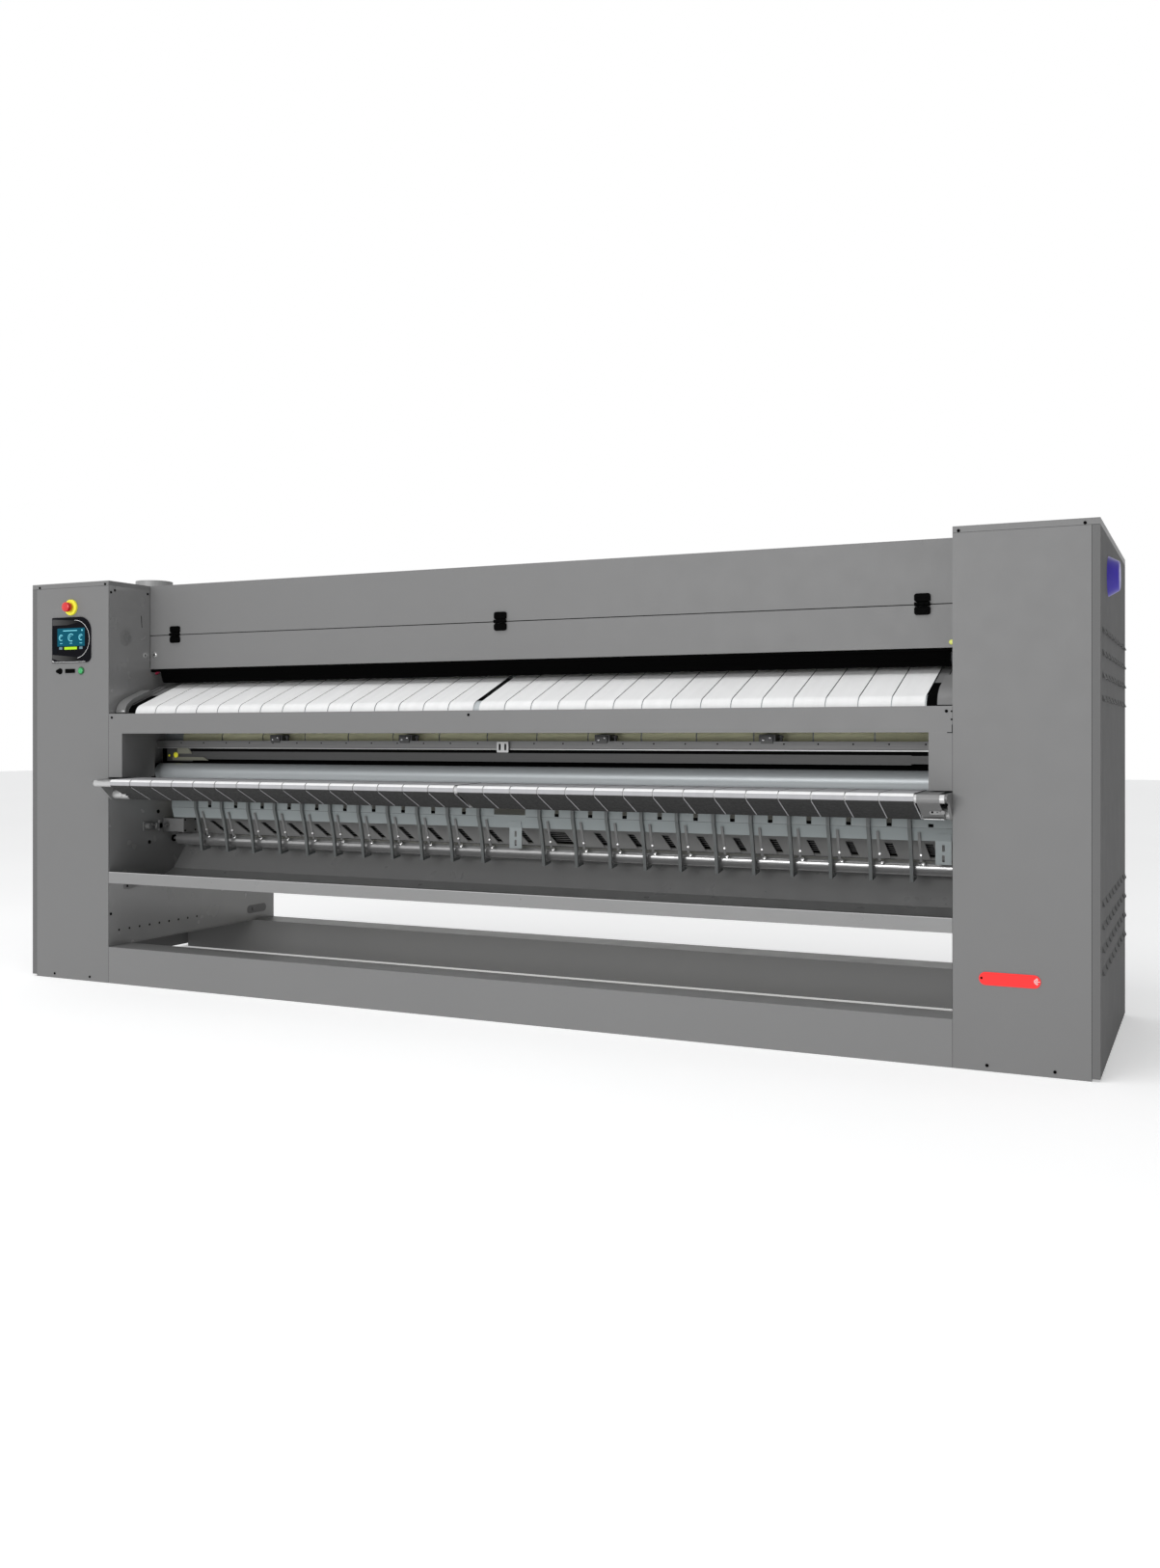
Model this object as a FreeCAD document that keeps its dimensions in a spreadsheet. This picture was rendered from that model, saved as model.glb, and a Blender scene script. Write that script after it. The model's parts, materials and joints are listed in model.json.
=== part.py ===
"""Flatwork ironer: feed belts, heated cylinder with ironing bands, folding comb and catch tray.

Row frame: X runs along the cylinder, Y from the operator to the back, Z up from the floor, in
millimetres. Lengths along Y are written from the front plane of the cabinets, and every finished
piece is then moved so that the origin lies on the floor under the middle of the machine.
"""
import FreeCAD, Part
import math
import os
import re
import Sketcher

DOC = FreeCAD.newDocument("FlatworkIroner")
SHEET = DOC.addObject("Spreadsheet::Sheet", "Dims")

DIMENSIONS = {
    # cabinets and the opening between them
    "opening_width": 3390, "cabinet_width": 423, "overall_height": 1650, "cabinet_depth": 1080,
    "gauge": 2, "frame_plate": 8, "lid_skirt": 20, "side_strip": 24, "side_lift": 8,
    "flange": 25, "seam_gap": 1,
    # louvres pressed into the outer side panels
    "louvre_length": 84, "louvre_rise": 8, "louvre_drop": 20, "louvre_count": 8,
    "louvre_rows": 4, "louvre_first": 76, "louvre_pitch": 124, "louvre_row_pitch": 68,
    "louvre_top_drop": 311, "louvre_low_z": 524,
    # base beams
    "beam_height": 148, "front_beam_depth": 130, "rear_beam_depth": 150, "rear_beam_inset": 6,
    "rear_beam_margin": 32, "beam_wall": 3, "beam_lip": 30,
    # hood, hinged flap and finger guard
    "hood_setback": 241, "seam_z": 1440, "flap_height": 143, "rear_panel_low_z": 420,
    "hinge_width": 50, "hinge_leaf": 34, "hinge_thick": 4, "barrel_radius": 7, "knuckle_half": 9,
    "knuckle_gap": 0.3, "hinge_margin": 138, "running_gap": 0.05, "guard_margin": 50,
    "guard_rod": 5, "guard_drop": 52, "guard_lean": 17, "guard_thick": 3, "guard_hang": 7,
    # front beam under the feed belts
    "lip_low_z": 1022.5, "lip_height": 81, "lip_depth": 45,
    # feed belts
    "feed_nose_y": 95, "feed_nose_z": 1102, "feed_nose_radius": 38.5, "feed_run": 275,
    "feed_rise": 110, "feed_rear_radius": 35, "belt_thick": 1.5, "belt_clear": 0.4,
    "belt_pitch": 106.2, "belt_slit": 3, "belt_edge": 80, "feed_middle_gap": 24,
    "stub_radius": 12, "roller_overhang": 4, "table_drop": 3, "table_wall": 2,
    "feed_strip_width": 28, "feed_cover_rise": 1.2, "feed_cover_gap": 1,
    # heated cylinder, its bearings and drive
    "cylinder_radius": 250, "cylinder_margin": 65, "cylinder_wall": 12, "cylinder_end": 20,
    "cylinder_y": 640, "cylinder_z": 1080, "journal_radius": 45, "journal_bore": 18,
    "journal_clear": 15, "bearing_half": 90, "bearing_depth": 40, "gearbox_half": 115,
    "gearbox_depth": 100, "motor_radius": 48, "motor_length": 280,
    # ironing bands
    "band_thick": 3, "band_width": 210, "band_pitch": 212.5, "band_clear": 0.8,
    "band_gap": 38, "band_roller_radius": 30, "band_entry_angle": 138, "band_exit_angle": -165.2,
    "idler_gap": 80, "idler_lower_angle": -90, "idler_rear_angle": -15, "idler_upper_angle": 60,
    "band_lean": 5,
    # folded profiles behind the window
    "profile_gap": 110, "scraper_low_z": 960, "scraper_height": 33, "scraper_depth": 30,
    "guide_low_z": 915, "guide_height": 38, "guide_depth": 34, "guide_margin": 182,
    "bracket_width": 105, "bracket_near_x": 431, "bracket_far_x": 1048, "bracket_height": 24,
    "stay_width": 50, "stay_height": 41, "stay_low_z": 950, "bracket_thick": 3,
    "shield_gap": 38, "shield_low_z": 872, "shield_high_z": 959,
    # window covers and transfer roller
    "cover_width": 72, "cover_depth": 190, "cover_low_z": 844, "transfer_radius": 38,
    "transfer_y": 270, "transfer_z": 860, "transfer_margin": 34,
    # delivery conveyor
    "nose_y": -79, "nose_z": 822, "nose_radius": 14.2, "heel_y": 101, "heel_z": 826,
    "keel_y": 30, "keel_z": 773, "keel_radius": 18.2, "conveyor_middle_gap": 13,
    "end_plate_thick": 8,
    # folding comb
    "comb_y": 311, "comb_fold_z": 708, "comb_low_z": 665, "comb_lean": 14, "comb_thick": 3,
    "comb_margin": 55, "pivot_z": 775, "pivot_radius": 12, "joint_gap": 0.1,
    "notch_width": 18, "notch_floor_z": 722, "comb_window": 134, "hanger_width": 52,
    "hanger_low_z": 588, "hanger_top_z": 690, "hanger_middle_x": 20, "hanger_margin": 86,
    "hanger_slot_width": 9, "hanger_slot_height": 22, "hanger_slot_pitch": 34,
    "finger_pitch": 137.2, "finger_first_x": 130, "finger_width": 12,
    "finger_depth": 13, "finger_top_z": 752, "finger_knee_z": 600, "finger_knee_y": 335,
    "foot_inner": 243.5, "foot_thick": 8, "foot_tip_angle": 15, "foot_heel_angle": 3,
    # strip bed behind the fingers and polished folding roll
    "bed_top_y": 406, "bed_top_z": 668, "bed_low_y": 556, "bed_low_z": 580, "bed_thick": 3,
    "bed_flange": 22, "slot_width": 27, "slot_margin": 30, "slot_left_x": 20,
    "slot_right_x": 305, "bed_hole_x": 132, "bed_hole_width": 78,
    "roll_radius": 27, "roll_y": 385, "roll_z": 570, "roll_margin": 35, "roll_neck": 6,
    # catch tray
    "tray_low_z": 410, "tray_lip_z": 456, "tray_hem": 16, "tray_wall": 2,
    "tray_floor_y": 330, "tray_bend_y": 385, "tray_top_y": 470, "tray_top_z": 545,
    # exhaust collar
    "collar_inset": 187, "collar_y": 470, "collar_radius": 80, "collar_wall": 2,
    "collar_height": 50,
    # controls on the left cabinet
    "panel_inset": 201, "panel_width": 214, "panel_drop": 238, "panel_height": 189,
    "panel_proud": 5, "panel_corner": 60, "screen_width": 152, "screen_height": 91,
    "screen_lift": 4, "stop_inset": 203, "stop_drop": 103, "stop_collar": 33,
    "stop_collar_thick": 9, "stop_stem": 11, "stop_head": 20, "stop_head_thick": 20,
    "stop_travel": 6, "button_inset": 149, "button_drop": 367, "button_radius": 15,
    "button_proud": 7, "button_depth": 18,
    "port_inset": 210, "port_width": 53, "port_height": 17, "key_inset": 271, "key_radius": 12,
    "key_length": 34, "port_proud": 3,
    # cap and plate on the right cabinet
    "cap_y": 300, "cap_drop": 142, "cap_base": 63, "cap_tip": 45, "cap_reach": 34,
    "plate_inset": 168, "plate_z": 280, "plate_length": 179, "plate_height": 40, "plate_proud": 2,
    # actuator of the comb on the left side frame, and screw heads
    "actuator_y": 360, "actuator_z": 631, "actuator_length": 76, "actuator_height": 56,
    "actuator_reach": 110, "actuator_rod": 6, "actuator_stroke": 36,
    "screw_radius": 5, "screw_head": 2, "screw_inset": 18, "screw_rise": 6, "screw_foot": 102,
    "screw_lip_drop": 16,
}


def fill_sheet():
    """Write every driving dimension into a row of its own: its name, then its aliased value."""
    for row, (alias, value) in enumerate(DIMENSIONS.items(), start=1):
        SHEET.set(f"A{row}", alias)
        SHEET.set(f"B{row}", str(value))
        SHEET.setAlias(f"B{row}", alias)
    DOC.recompute()


fill_sheet()

# Shared places, each written from the driving dimensions.
SIDE = "opening_width / 2"
FRAME_OUT = "opening_width / 2 + frame_plate"
OUTER = "opening_width / 2 + cabinet_width"
BODY_TOP = "overall_height - lid_skirt"
FRONT_SHIFT = "-(cabinet_depth + nose_y - nose_radius - belt_clear - belt_thick) / 2"
LIP_TOP = "lip_low_z + lip_height"
FEED_REAR_Y = "feed_nose_y + feed_run"
FEED_REAR_Z = "feed_nose_z + feed_rise"
BELTS = f"floor(({SIDE} - belt_edge) / belt_pitch)"
FEED_END = f"feed_middle_gap / 2 + {BELTS} * belt_pitch"
CONVEYOR_END = f"conveyor_middle_gap / 2 + {BELTS} * belt_pitch"
FLAP_LOW = "(seam_z - flap_height)"
HINGE_Y = "hood_setback - barrel_radius"
GUARD_Y = "hood_setback + guard_hang"
GUARD_Z = f"({FLAP_LOW} - guard_hang)"
CYLINDER_HALF = f"({SIDE} - cylinder_margin)"
GUARD_HALF = f"({SIDE} - guard_margin)"
COMB_HALF = f"({SIDE} - comb_margin)"
GUIDE_HALF = f"({SIDE} - guide_margin)"
BANDS = f"(2 * floor({CYLINDER_HALF} / band_pitch - 1 / 2) + 1)"
FINGERS = f"(floor(({COMB_HALF} - finger_first_x) / finger_pitch - 1 / 2) + 1)"
PROFILE_Y = "(cylinder_y - cylinder_radius - profile_gap)"
SHIELD_Y = f"({PROFILE_Y} + shield_gap)"
PANEL_X = f"({SIDE} + panel_inset)"
STOP_X = f"({SIDE} + stop_inset)"
BUTTON_X = f"({SIDE} + button_inset)"
PORT_X = f"({SIDE} + port_inset)"
KEY_X = f"({SIDE} + key_inset)"
COLLAR_X = f"({SIDE} + collar_inset)"
PLATE_X = f"({SIDE} + plate_inset)"
PANEL_Z = "(overall_height - panel_drop)"
SCREEN_Z = "(overall_height - panel_drop + screen_lift)"
STOP_Z = "(overall_height - stop_drop)"
BUTTON_Z = "(overall_height - button_drop)"
HANGERS = ("hanger_middle_x", f"({SIDE} - hanger_margin)")
PIVOT_Y = "(comb_y + comb_thick + joint_gap + pivot_radius)"


def bound(text):
    """Point each alias in an expression at the sheet."""
    def to_cell(match):
        word = match.group()
        return "Dims." + word if word in DIMENSIONS else word
    return re.sub(r"[a-z_][a-z_0-9]*", to_cell, text)


def number(text):
    """Value of an expression written with the sheet's aliases."""
    return float(SHEET.evalExpression(bound(text)))


def orbit_y(radius, angle):
    """Y of a point on a circle about the cylinder's axis."""
    return f"cylinder_y + ({radius}) * cos({angle})"


def orbit_z(radius, angle):
    """Z of a point on a circle about the cylinder's axis."""
    return f"cylinder_z + ({radius}) * sin({angle})"


# Shafts that run in holes of the side frames: Y, Z and radius of their ends.
SHAFTS = {
    "transfer_roller": ("transfer_y", "transfer_z", "stub_radius"),
    "comb_shaft": (PIVOT_Y, "pivot_z", "pivot_radius"),
    "folding_roll": ("roll_y", "roll_z", "roll_neck"),
}
BAND_ORBIT = "(cylinder_radius + band_gap)"
IDLER_ORBIT = "(cylinder_radius + idler_gap)"
# Rollers inside the bands, in the order of the return path: orbit, angle, corners of the turn.
BAND_ROLLERS = {
    "band_entry_roller": (BAND_ORBIT, "band_entry_angle", 2),
    "band_upper_idler": (IDLER_ORBIT, "idler_upper_angle", 1),
    "band_rear_idler": (IDLER_ORBIT, "idler_rear_angle", 1),
    "band_lower_idler": (IDLER_ORBIT, "idler_lower_angle", 1),
    "band_exit_roller": (BAND_ORBIT, "band_exit_angle", 2),
}
BAND_FACETS = 12
ROLLER_SIDES = 16
KNOB_SIDES = 24
SMALL_SIDES = 8
NODES = []


# ---------------------------------------------------------------- modelling helpers

def bind(thing, target, text):
    """Tie a property or constraint to the sheet."""
    thing.setExpression(target, bound(text))


def new_body(label):
    """Start a sub-part as a body that may hold several separate solids."""
    body = DOC.addObject("PartDesign::Body", label)
    body.Label = label
    body.AllowCompound = True
    NODES.append(body)
    return body


def origin_feature(body, role):
    """One of the body's own origin planes or axes."""
    return next(f for f in body.Origin.OriginFeatures if f.Role == role)


def new_sketch(body, role, along="0", right="0", up="0"):
    """Attach a sketch to an origin plane, moved along its normal, and right and up in it."""
    sketch = body.newObject("Sketcher::SketchObject", body.Label + "_sketch")
    sketch.AttachmentSupport = [(origin_feature(body, role), "")]
    sketch.MapMode = "FlatFace"
    bind(sketch, "AttachmentOffset.Base.x", right)
    bind(sketch, "AttachmentOffset.Base.y", up)
    bind(sketch, "AttachmentOffset.Base.z", along)
    return sketch


def place_point(sketch, edge, end, right, up):
    """Hold one end or centre of an edge at a place given by two expressions."""
    for kind, text in (("DistanceX", right), ("DistanceY", up)):
        index = sketch.addConstraint(
            Sketcher.Constraint(kind, -1, 1, edge, end, number(text))
        )
        bind(sketch, f"Constraints[{index}]", text)


def add_polygon(sketch, points):
    """Draw a closed outline through points given as pairs of expressions."""
    corners = [FreeCAD.Vector(number(right), number(up), 0) for right, up in points]
    first = sketch.GeometryCount
    count = len(corners)
    for i, corner in enumerate(corners):
        sketch.addGeometry(Part.LineSegment(corner, corners[(i + 1) % count]), False)
    for i, (right, up) in enumerate(points):
        following = first + (i + 1) % count
        sketch.addConstraint(Sketcher.Constraint("Coincident", first + i, 2, following, 1))
        place_point(sketch, first + i, 1, right, up)


def add_box(sketch, low, high):
    """Draw a rectangle from its low corner to its high corner."""
    (left, bottom), (right, top) = low, high
    add_polygon(sketch, [(left, bottom), (right, bottom), (right, top), (left, top)])


def add_circle(sketch, right, up, radius):
    """Draw a circle with its centre and radius tied to the sheet."""
    centre = FreeCAD.Vector(number(right), number(up), 0)
    edge = sketch.GeometryCount
    sketch.addGeometry(Part.Circle(centre, FreeCAD.Vector(0, 0, 1), number(radius)), False)
    place_point(sketch, edge, 3, right, up)
    index = sketch.addConstraint(Sketcher.Constraint("Radius", edge, number(radius)))
    bind(sketch, f"Constraints[{index}]", radius)


def ring_of_corners(radius, y, z, count):
    """Corners of a regular outline, as pairs of expressions."""
    angles = [360 * (k + 0.5) / count for k in range(count)]
    return [(f"{y} + ({radius}) * cos({a})", f"{z} + ({radius}) * sin({a})") for a in angles]


def taut_outline(pulleys, outward, facets):
    """Corners of the taut line round convex pulleys, listed counterclockwise as (Y, Z, radius).

    Each turn round a pulley is drawn with the stated number of corners, its facets clear of it.
    """
    normals = []
    for i, (y, z, radius) in enumerate(pulleys):
        next_y, next_z, next_radius = pulleys[(i + 1) % len(pulleys)]
        across = f"(({next_y}) - ({y}))"
        rise = f"(({next_z}) - ({z}))"
        span = f"sqrt({across} ^ 2 + {rise} ^ 2)"
        lean = f"asin((({radius}) - ({next_radius})) / {span})"
        normals.append(f"(atan2({rise}; {across}) - 90 deg + {lean})")
    corners = []
    for i, (y, z, radius) in enumerate(pulleys):
        sweep = f"({normals[i]} - {normals[i - 1]})"
        if number(f"{sweep} / 1 deg") < 0:
            sweep = f"({sweep} + 360 deg)"
        reach = f"({radius} + {outward}) / cos({sweep} / {2 * facets[i]})"
        for k in range(facets[i]):
            angle = f"{normals[i - 1]} + {sweep} * {(k + 0.5) / facets[i]}"
            corners.append((f"{y} + {reach} * cos({angle})", f"{z} + {reach} * sin({angle})"))
    return corners


def pad(body, sketch, length):
    """Extrude a sketch along its plane's normal."""
    feature = body.newObject("PartDesign::Pad", body.Label + "_pad")
    feature.Profile = sketch
    bind(feature, "Length", length)
    sketch.Visibility = False
    return feature


def pocket(body, sketch, length):
    """Cut a sketch to a depth against its plane's normal."""
    feature = body.newObject("PartDesign::Pocket", body.Label + "_pocket")
    feature.Profile = sketch
    bind(feature, "Length", length)
    return feature


def row_step(body, role, count, pitch):
    """A linear step of a pattern along one of the body's axes."""
    step = body.newObject("PartDesign::LinearPattern", body.Label + "_row")
    step.Direction = (origin_feature(body, role), [""])
    bind(step, "Occurrences", count)
    bind(step, "Length", f"({count} - 1) * ({pitch})")
    return step


def mirror_step(body):
    """A mirror step across the middle of the machine."""
    step = body.newObject("PartDesign::Mirrored", body.Label + "_mirror")
    step.MirrorPlane = (origin_feature(body, "YZ_Plane"), [""])
    return step


def repeat(body, originals, steps):
    """Repeat features through one or more pattern steps."""
    if len(steps) == 1:
        steps[0].Originals = originals
        body.Tip = steps[0]
        return steps[0]
    pattern = body.newObject("PartDesign::MultiTransform", body.Label + "_pattern")
    pattern.Originals = originals
    pattern.Transformations = steps
    body.Tip = pattern
    return pattern


def beam_x(label, outline, low, high):
    """A bar or folded sheet of constant section along X."""
    body = new_body(label)
    sketch = new_sketch(body, "YZ_Plane", along=low)
    add_polygon(sketch, outline)
    pad(body, sketch, f"({high}) - ({low})")
    return body


def column_z(label, outline, low, high):
    """A bar or folded sheet of constant section along Z."""
    body = new_body(label)
    sketch = new_sketch(body, "XY_Plane", along=low)
    add_polygon(sketch, outline)
    pad(body, sketch, f"({high}) - ({low})")
    return body


def slab_y(body, draw, front, back):
    """A flat piece of a sketched outline between two planes square to Y."""
    sketch = new_sketch(body, "XZ_Plane", along=f"-({back})")
    draw(sketch)
    return pad(body, sketch, f"({back}) - ({front})")


def revolve(body, sketch, axis):
    """Turn a half outline about one of its sketch's own axes."""
    feature = body.newObject("PartDesign::Revolution", body.Label + "_turn")
    feature.Profile = sketch
    feature.ReferenceAxis = (sketch, [axis])
    feature.Angle = 360
    return feature


def turned_x(label, y, z, outline):
    """A turned piece about an axis along X, from (X, radius) pairs."""
    body = new_body(label)
    sketch = new_sketch(body, "XZ_Plane", along=f"-({y})", up=z)
    add_polygon(sketch, outline)
    revolve(body, sketch, "H_Axis")
    return body


def necked_roller(label, radius, half_length):
    """A roller along X whose two necks run in the side frames."""
    y, z, neck = SHAFTS[label]
    return turned_x(label, y, z, [
        (f"-({FRAME_OUT})", "0"),
        (f"-({FRAME_OUT})", neck),
        (f"-({half_length})", neck),
        (f"-({half_length})", radius),
        (half_length, radius),
        (half_length, neck),
        (FRAME_OUT, neck),
        (FRAME_OUT, "0"),
    ])


def plain_roller(label, y, z, radius, half_length):
    """A many-sided roller along X, whose bearings are inside its ends."""
    outline = ring_of_corners(radius, y, z, ROLLER_SIDES)
    return beam_x(label, outline, f"-({half_length})", half_length)


# ---------------------------------------------------------------- frame and panels

def channel(label, front, depth, end):
    """A base beam: folded channel, open downwards, with lips turned in at the floor."""
    back = f"{front} + {depth}"
    outline = [
        (front, "0"),
        (front, "beam_height"),
        (back, "beam_height"),
        (back, "0"),
        (f"{back} - beam_lip", "0"),
        (f"{back} - beam_lip", "beam_wall"),
        (f"{back} - beam_wall", "beam_wall"),
        (f"{back} - beam_wall", "beam_height - beam_wall"),
        (f"{front} + beam_wall", "beam_height - beam_wall"),
        (f"{front} + beam_wall", "beam_wall"),
        (f"{front} + beam_lip", "beam_wall"),
        (f"{front} + beam_lip", "0"),
    ]
    beam_x(label, outline, f"-({end})", end)


def side_frame(label, side):
    """The thick plate between opening and cabinet, bored for every shaft.

    It stands on the floor beside the front beam, and on top of the rear beam.
    """
    low = SIDE if side > 0 else f"-({FRAME_OUT})"
    body = new_body(label)
    sketch = new_sketch(body, "YZ_Plane", along=low)
    add_polygon(sketch, [
        ("gauge", "0"),
        ("front_beam_depth", "0"),
        ("front_beam_depth", "beam_height"),
        ("cabinet_depth - gauge", "beam_height"),
        ("cabinet_depth - gauge", BODY_TOP),
        ("gauge", BODY_TOP),
    ])
    add_circle(sketch, "cylinder_y", "cylinder_z", "journal_radius + journal_clear")
    for y, z, radius in SHAFTS.values():
        add_circle(sketch, y, z, f"{radius} + running_gap")
    pad(body, sketch, "frame_plate")


def front_cover(label, side, holes):
    """The front cover of a cabinet, with its two edges turned back."""
    near = FRAME_OUT
    far = f"{OUTER} - side_strip"
    sign = "" if side > 0 else "-"
    outline = [
        (f"{sign}({SIDE})", "0"),
        (f"{sign}({far})", "0"),
        (f"{sign}({far})", "flange"),
        (f"{sign}({far} - gauge)", "flange"),
        (f"{sign}({far} - gauge)", "gauge"),
        (f"{sign}({near} + gauge)", "gauge"),
        (f"{sign}({near} + gauge)", "flange"),
        (f"{sign}({near})", "flange"),
        (f"{sign}({near})", "gauge"),
        (f"{sign}({SIDE})", "gauge"),
    ]
    body = column_z(label, outline, "0", BODY_TOP)
    if holes:
        sketch = new_sketch(body, "XZ_Plane", along="-gauge")
        holes(sketch)
        cut = pocket(body, sketch, "gauge * 2")
        cut.Reversed = True


def control_holes(sketch):
    """Openings in the left front cover for the screen, stop button and start button."""
    add_box(
        sketch,
        (f"-{PANEL_X} - screen_width / 2", f"{SCREEN_Z} - screen_height / 2"),
        (f"-{PANEL_X} + screen_width / 2", f"{SCREEN_Z} + screen_height / 2"),
    )
    add_polygon(
        sketch, ring_of_corners("stop_stem + running_gap", f"-{STOP_X}", STOP_Z, SMALL_SIDES)
    )
    add_polygon(
        sketch,
        ring_of_corners("button_radius + running_gap", f"-{BUTTON_X}", BUTTON_Z, KNOB_SIDES),
    )


def outer_panel(label, side):
    """The outer side of a cabinet: front strip, side and back in one folded sheet, louvred."""
    sign = "" if side > 0 else "-"
    strip = f"{OUTER} - side_strip + seam_gap"
    outline = [
        (f"{sign}({strip})", "0"),
        (f"{sign}({OUTER})", "0"),
        (f"{sign}({OUTER})", "cabinet_depth"),
        (f"{sign}({FRAME_OUT})", "cabinet_depth"),
        (f"{sign}({FRAME_OUT})", "cabinet_depth - gauge"),
        (f"{sign}({OUTER} - gauge)", "cabinet_depth - gauge"),
        (f"{sign}({OUTER} - gauge)", "gauge"),
        (f"{sign}({strip})", "gauge"),
    ]
    body = column_z(label, outline, "side_lift", BODY_TOP)
    for top in ("(overall_height - louvre_top_drop)", "louvre_low_z"):
        sketch = new_sketch(body, "XZ_Plane", along="-(louvre_first + louvre_length)")
        add_polygon(sketch, [
            (f"{sign}({OUTER} - gauge / 2)", top),
            (f"{sign}({OUTER})", top),
            (f"{sign}({OUTER} + louvre_rise)", f"{top} - louvre_drop"),
            (f"{sign}({OUTER} - gauge / 2)", f"{top} - louvre_drop"),
        ])
        louvre = pad(body, sketch, "louvre_length")
        along = row_step(body, "Y_Axis", "louvre_count", "louvre_pitch")
        down = row_step(body, "Z_Axis", "louvre_rows", "louvre_row_pitch")
        down.Reversed = True
        repeat(body, [louvre], [along, down])


def top_lid(label, side, with_collar):
    """The folded lid of a cabinet: a shallow tray turned over."""
    low = SIDE if side > 0 else f"-({OUTER})"
    high = OUTER if side > 0 else f"-({SIDE})"
    body = new_body(label)
    sketch = new_sketch(body, "XY_Plane", along=BODY_TOP)
    add_box(sketch, (low, "0"), (high, "cabinet_depth"))
    pad(body, sketch, "lid_skirt")
    hollow = new_sketch(body, "XY_Plane", along="overall_height - gauge")
    add_box(hollow, (f"{low} + gauge", "gauge"), (f"{high} - gauge", "cabinet_depth - gauge"))
    pocket(body, hollow, "lid_skirt")
    if with_collar:
        duct = new_sketch(body, "XY_Plane", along="overall_height")
        add_circle(duct, f"-{COLLAR_X}", "collar_y", "collar_radius - collar_wall")
        pocket(body, duct, "gauge * 2")


def hood():
    """The hood's bent top and front, its back panel, and the flap hinged under the front."""
    face = "hood_setback"
    back = "cabinet_depth - gauge"
    top = "overall_height"
    beam_x("hood_shell", [
        (face, "seam_z"),
        (face, top),
        (back, top),
        (back, f"{top} - gauge"),
        (f"{face} + gauge", f"{top} - gauge"),
        (f"{face} + gauge", "seam_z + gauge"),
        (f"{face} + flange", "seam_z + gauge"),
        (f"{face} + flange", "seam_z"),
    ], f"-({SIDE})", SIDE)
    beam_x("hood_rear_panel", [
        (back, "rear_panel_low_z"),
        ("cabinet_depth", "rear_panel_low_z"),
        ("cabinet_depth", top),
        (back, top),
        (back, "rear_panel_low_z + gauge"),
        (f"{back} - flange", "rear_panel_low_z + gauge"),
        (f"{back} - flange", "rear_panel_low_z"),
    ], f"-({SIDE})", SIDE)
    flap_top = "seam_z - gauge"
    beam_x("hood_flap", [
        (face, FLAP_LOW),
        (face, flap_top),
        (f"{face} + gauge", flap_top),
        (f"{face} + gauge", f"{FLAP_LOW} + gauge"),
        (f"{face} + flange", f"{FLAP_LOW} + gauge"),
        (f"{face} + flange", FLAP_LOW),
    ], f"-({SIDE} - gauge)", f"{SIDE} - gauge")


def hinge_half(label, upward, knuckles):
    """One half of the three hinges: leaves on the hood's face, each with its knuckles."""
    body = new_body(label)
    face = "hood_setback"
    front = f"{face} - hinge_thick"
    edge = f"seam_z{upward}(barrel_radius + knuckle_gap)"
    tip = f"seam_z{upward}hinge_leaf"
    leaf = new_sketch(body, "YZ_Plane", along="-hinge_width / 2")
    add_polygon(leaf, [(front, edge), (face, edge), (face, tip), (front, tip)])
    pieces = [pad(body, leaf, "hinge_width")]
    for low, high in knuckles:
        barrel = new_sketch(body, "YZ_Plane", along=low)
        outline = [(face, edge), (front, edge)]
        for angle in (150, 210, 270, 330):
            turn = f"{angle}" if upward == " + " else f"-({angle})"
            outline.append((
                f"{HINGE_Y} + barrel_radius * cos({turn})",
                f"seam_z + barrel_radius * sin({turn})",
            ))
        outline.append((face, "seam_z"))
        add_polygon(barrel, outline)
        pieces.append(pad(body, barrel, f"({high}) - ({low})"))
    row = row_step(body, "X_Axis", "2", f"{SIDE} - hinge_margin")
    repeat(body, pieces, [row, mirror_step(body)])


def flap_hinges():
    """Three hinges on the seam, their pins hidden inside the knuckles."""
    end = "hinge_width / 2"
    inner = "knuckle_half + knuckle_gap"
    hinge_half("flap_hinge_fixed", " + ", [("-knuckle_half", "knuckle_half")])
    hinge_half("flap_hinge_moving", " - ", [(inner, end), (f"-({end})", f"-({inner})")])


def finger_guard():
    """The black safety bar: a rod with a leaning strip that closes the feed mouth to fingers."""
    body = new_body("finger_guard")
    rod = new_sketch(body, "YZ_Plane", along=f"-({SIDE} - belt_clear)")
    add_circle(rod, GUARD_Y, GUARD_Z, "guard_rod")
    pad(body, rod, f"2 * ({SIDE} - belt_clear)")
    strip = new_sketch(body, "YZ_Plane", along=f"-{GUARD_HALF}")
    add_polygon(strip, [
        (f"{GUARD_Y} - guard_thick / 2", GUARD_Z),
        (f"{GUARD_Y} + guard_thick / 2", GUARD_Z),
        (f"{GUARD_Y} + guard_thick / 2 + guard_lean", f"{GUARD_Z} - guard_drop"),
        (f"{GUARD_Y} - guard_thick / 2 + guard_lean", f"{GUARD_Z} - guard_drop"),
    ])
    pad(body, strip, f"2 * {GUARD_HALF}")


# ---------------------------------------------------------------- feed table

def half_row(body, draw, low, width, count, pitch):
    """Pad one section beside the middle gap, and repeat it along both halves."""
    sketch = new_sketch(body, "YZ_Plane", along=low)
    draw(sketch)
    first = pad(body, sketch, width)
    return repeat(body, [first], [row_step(body, "X_Axis", count, pitch), mirror_step(body)])


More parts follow.
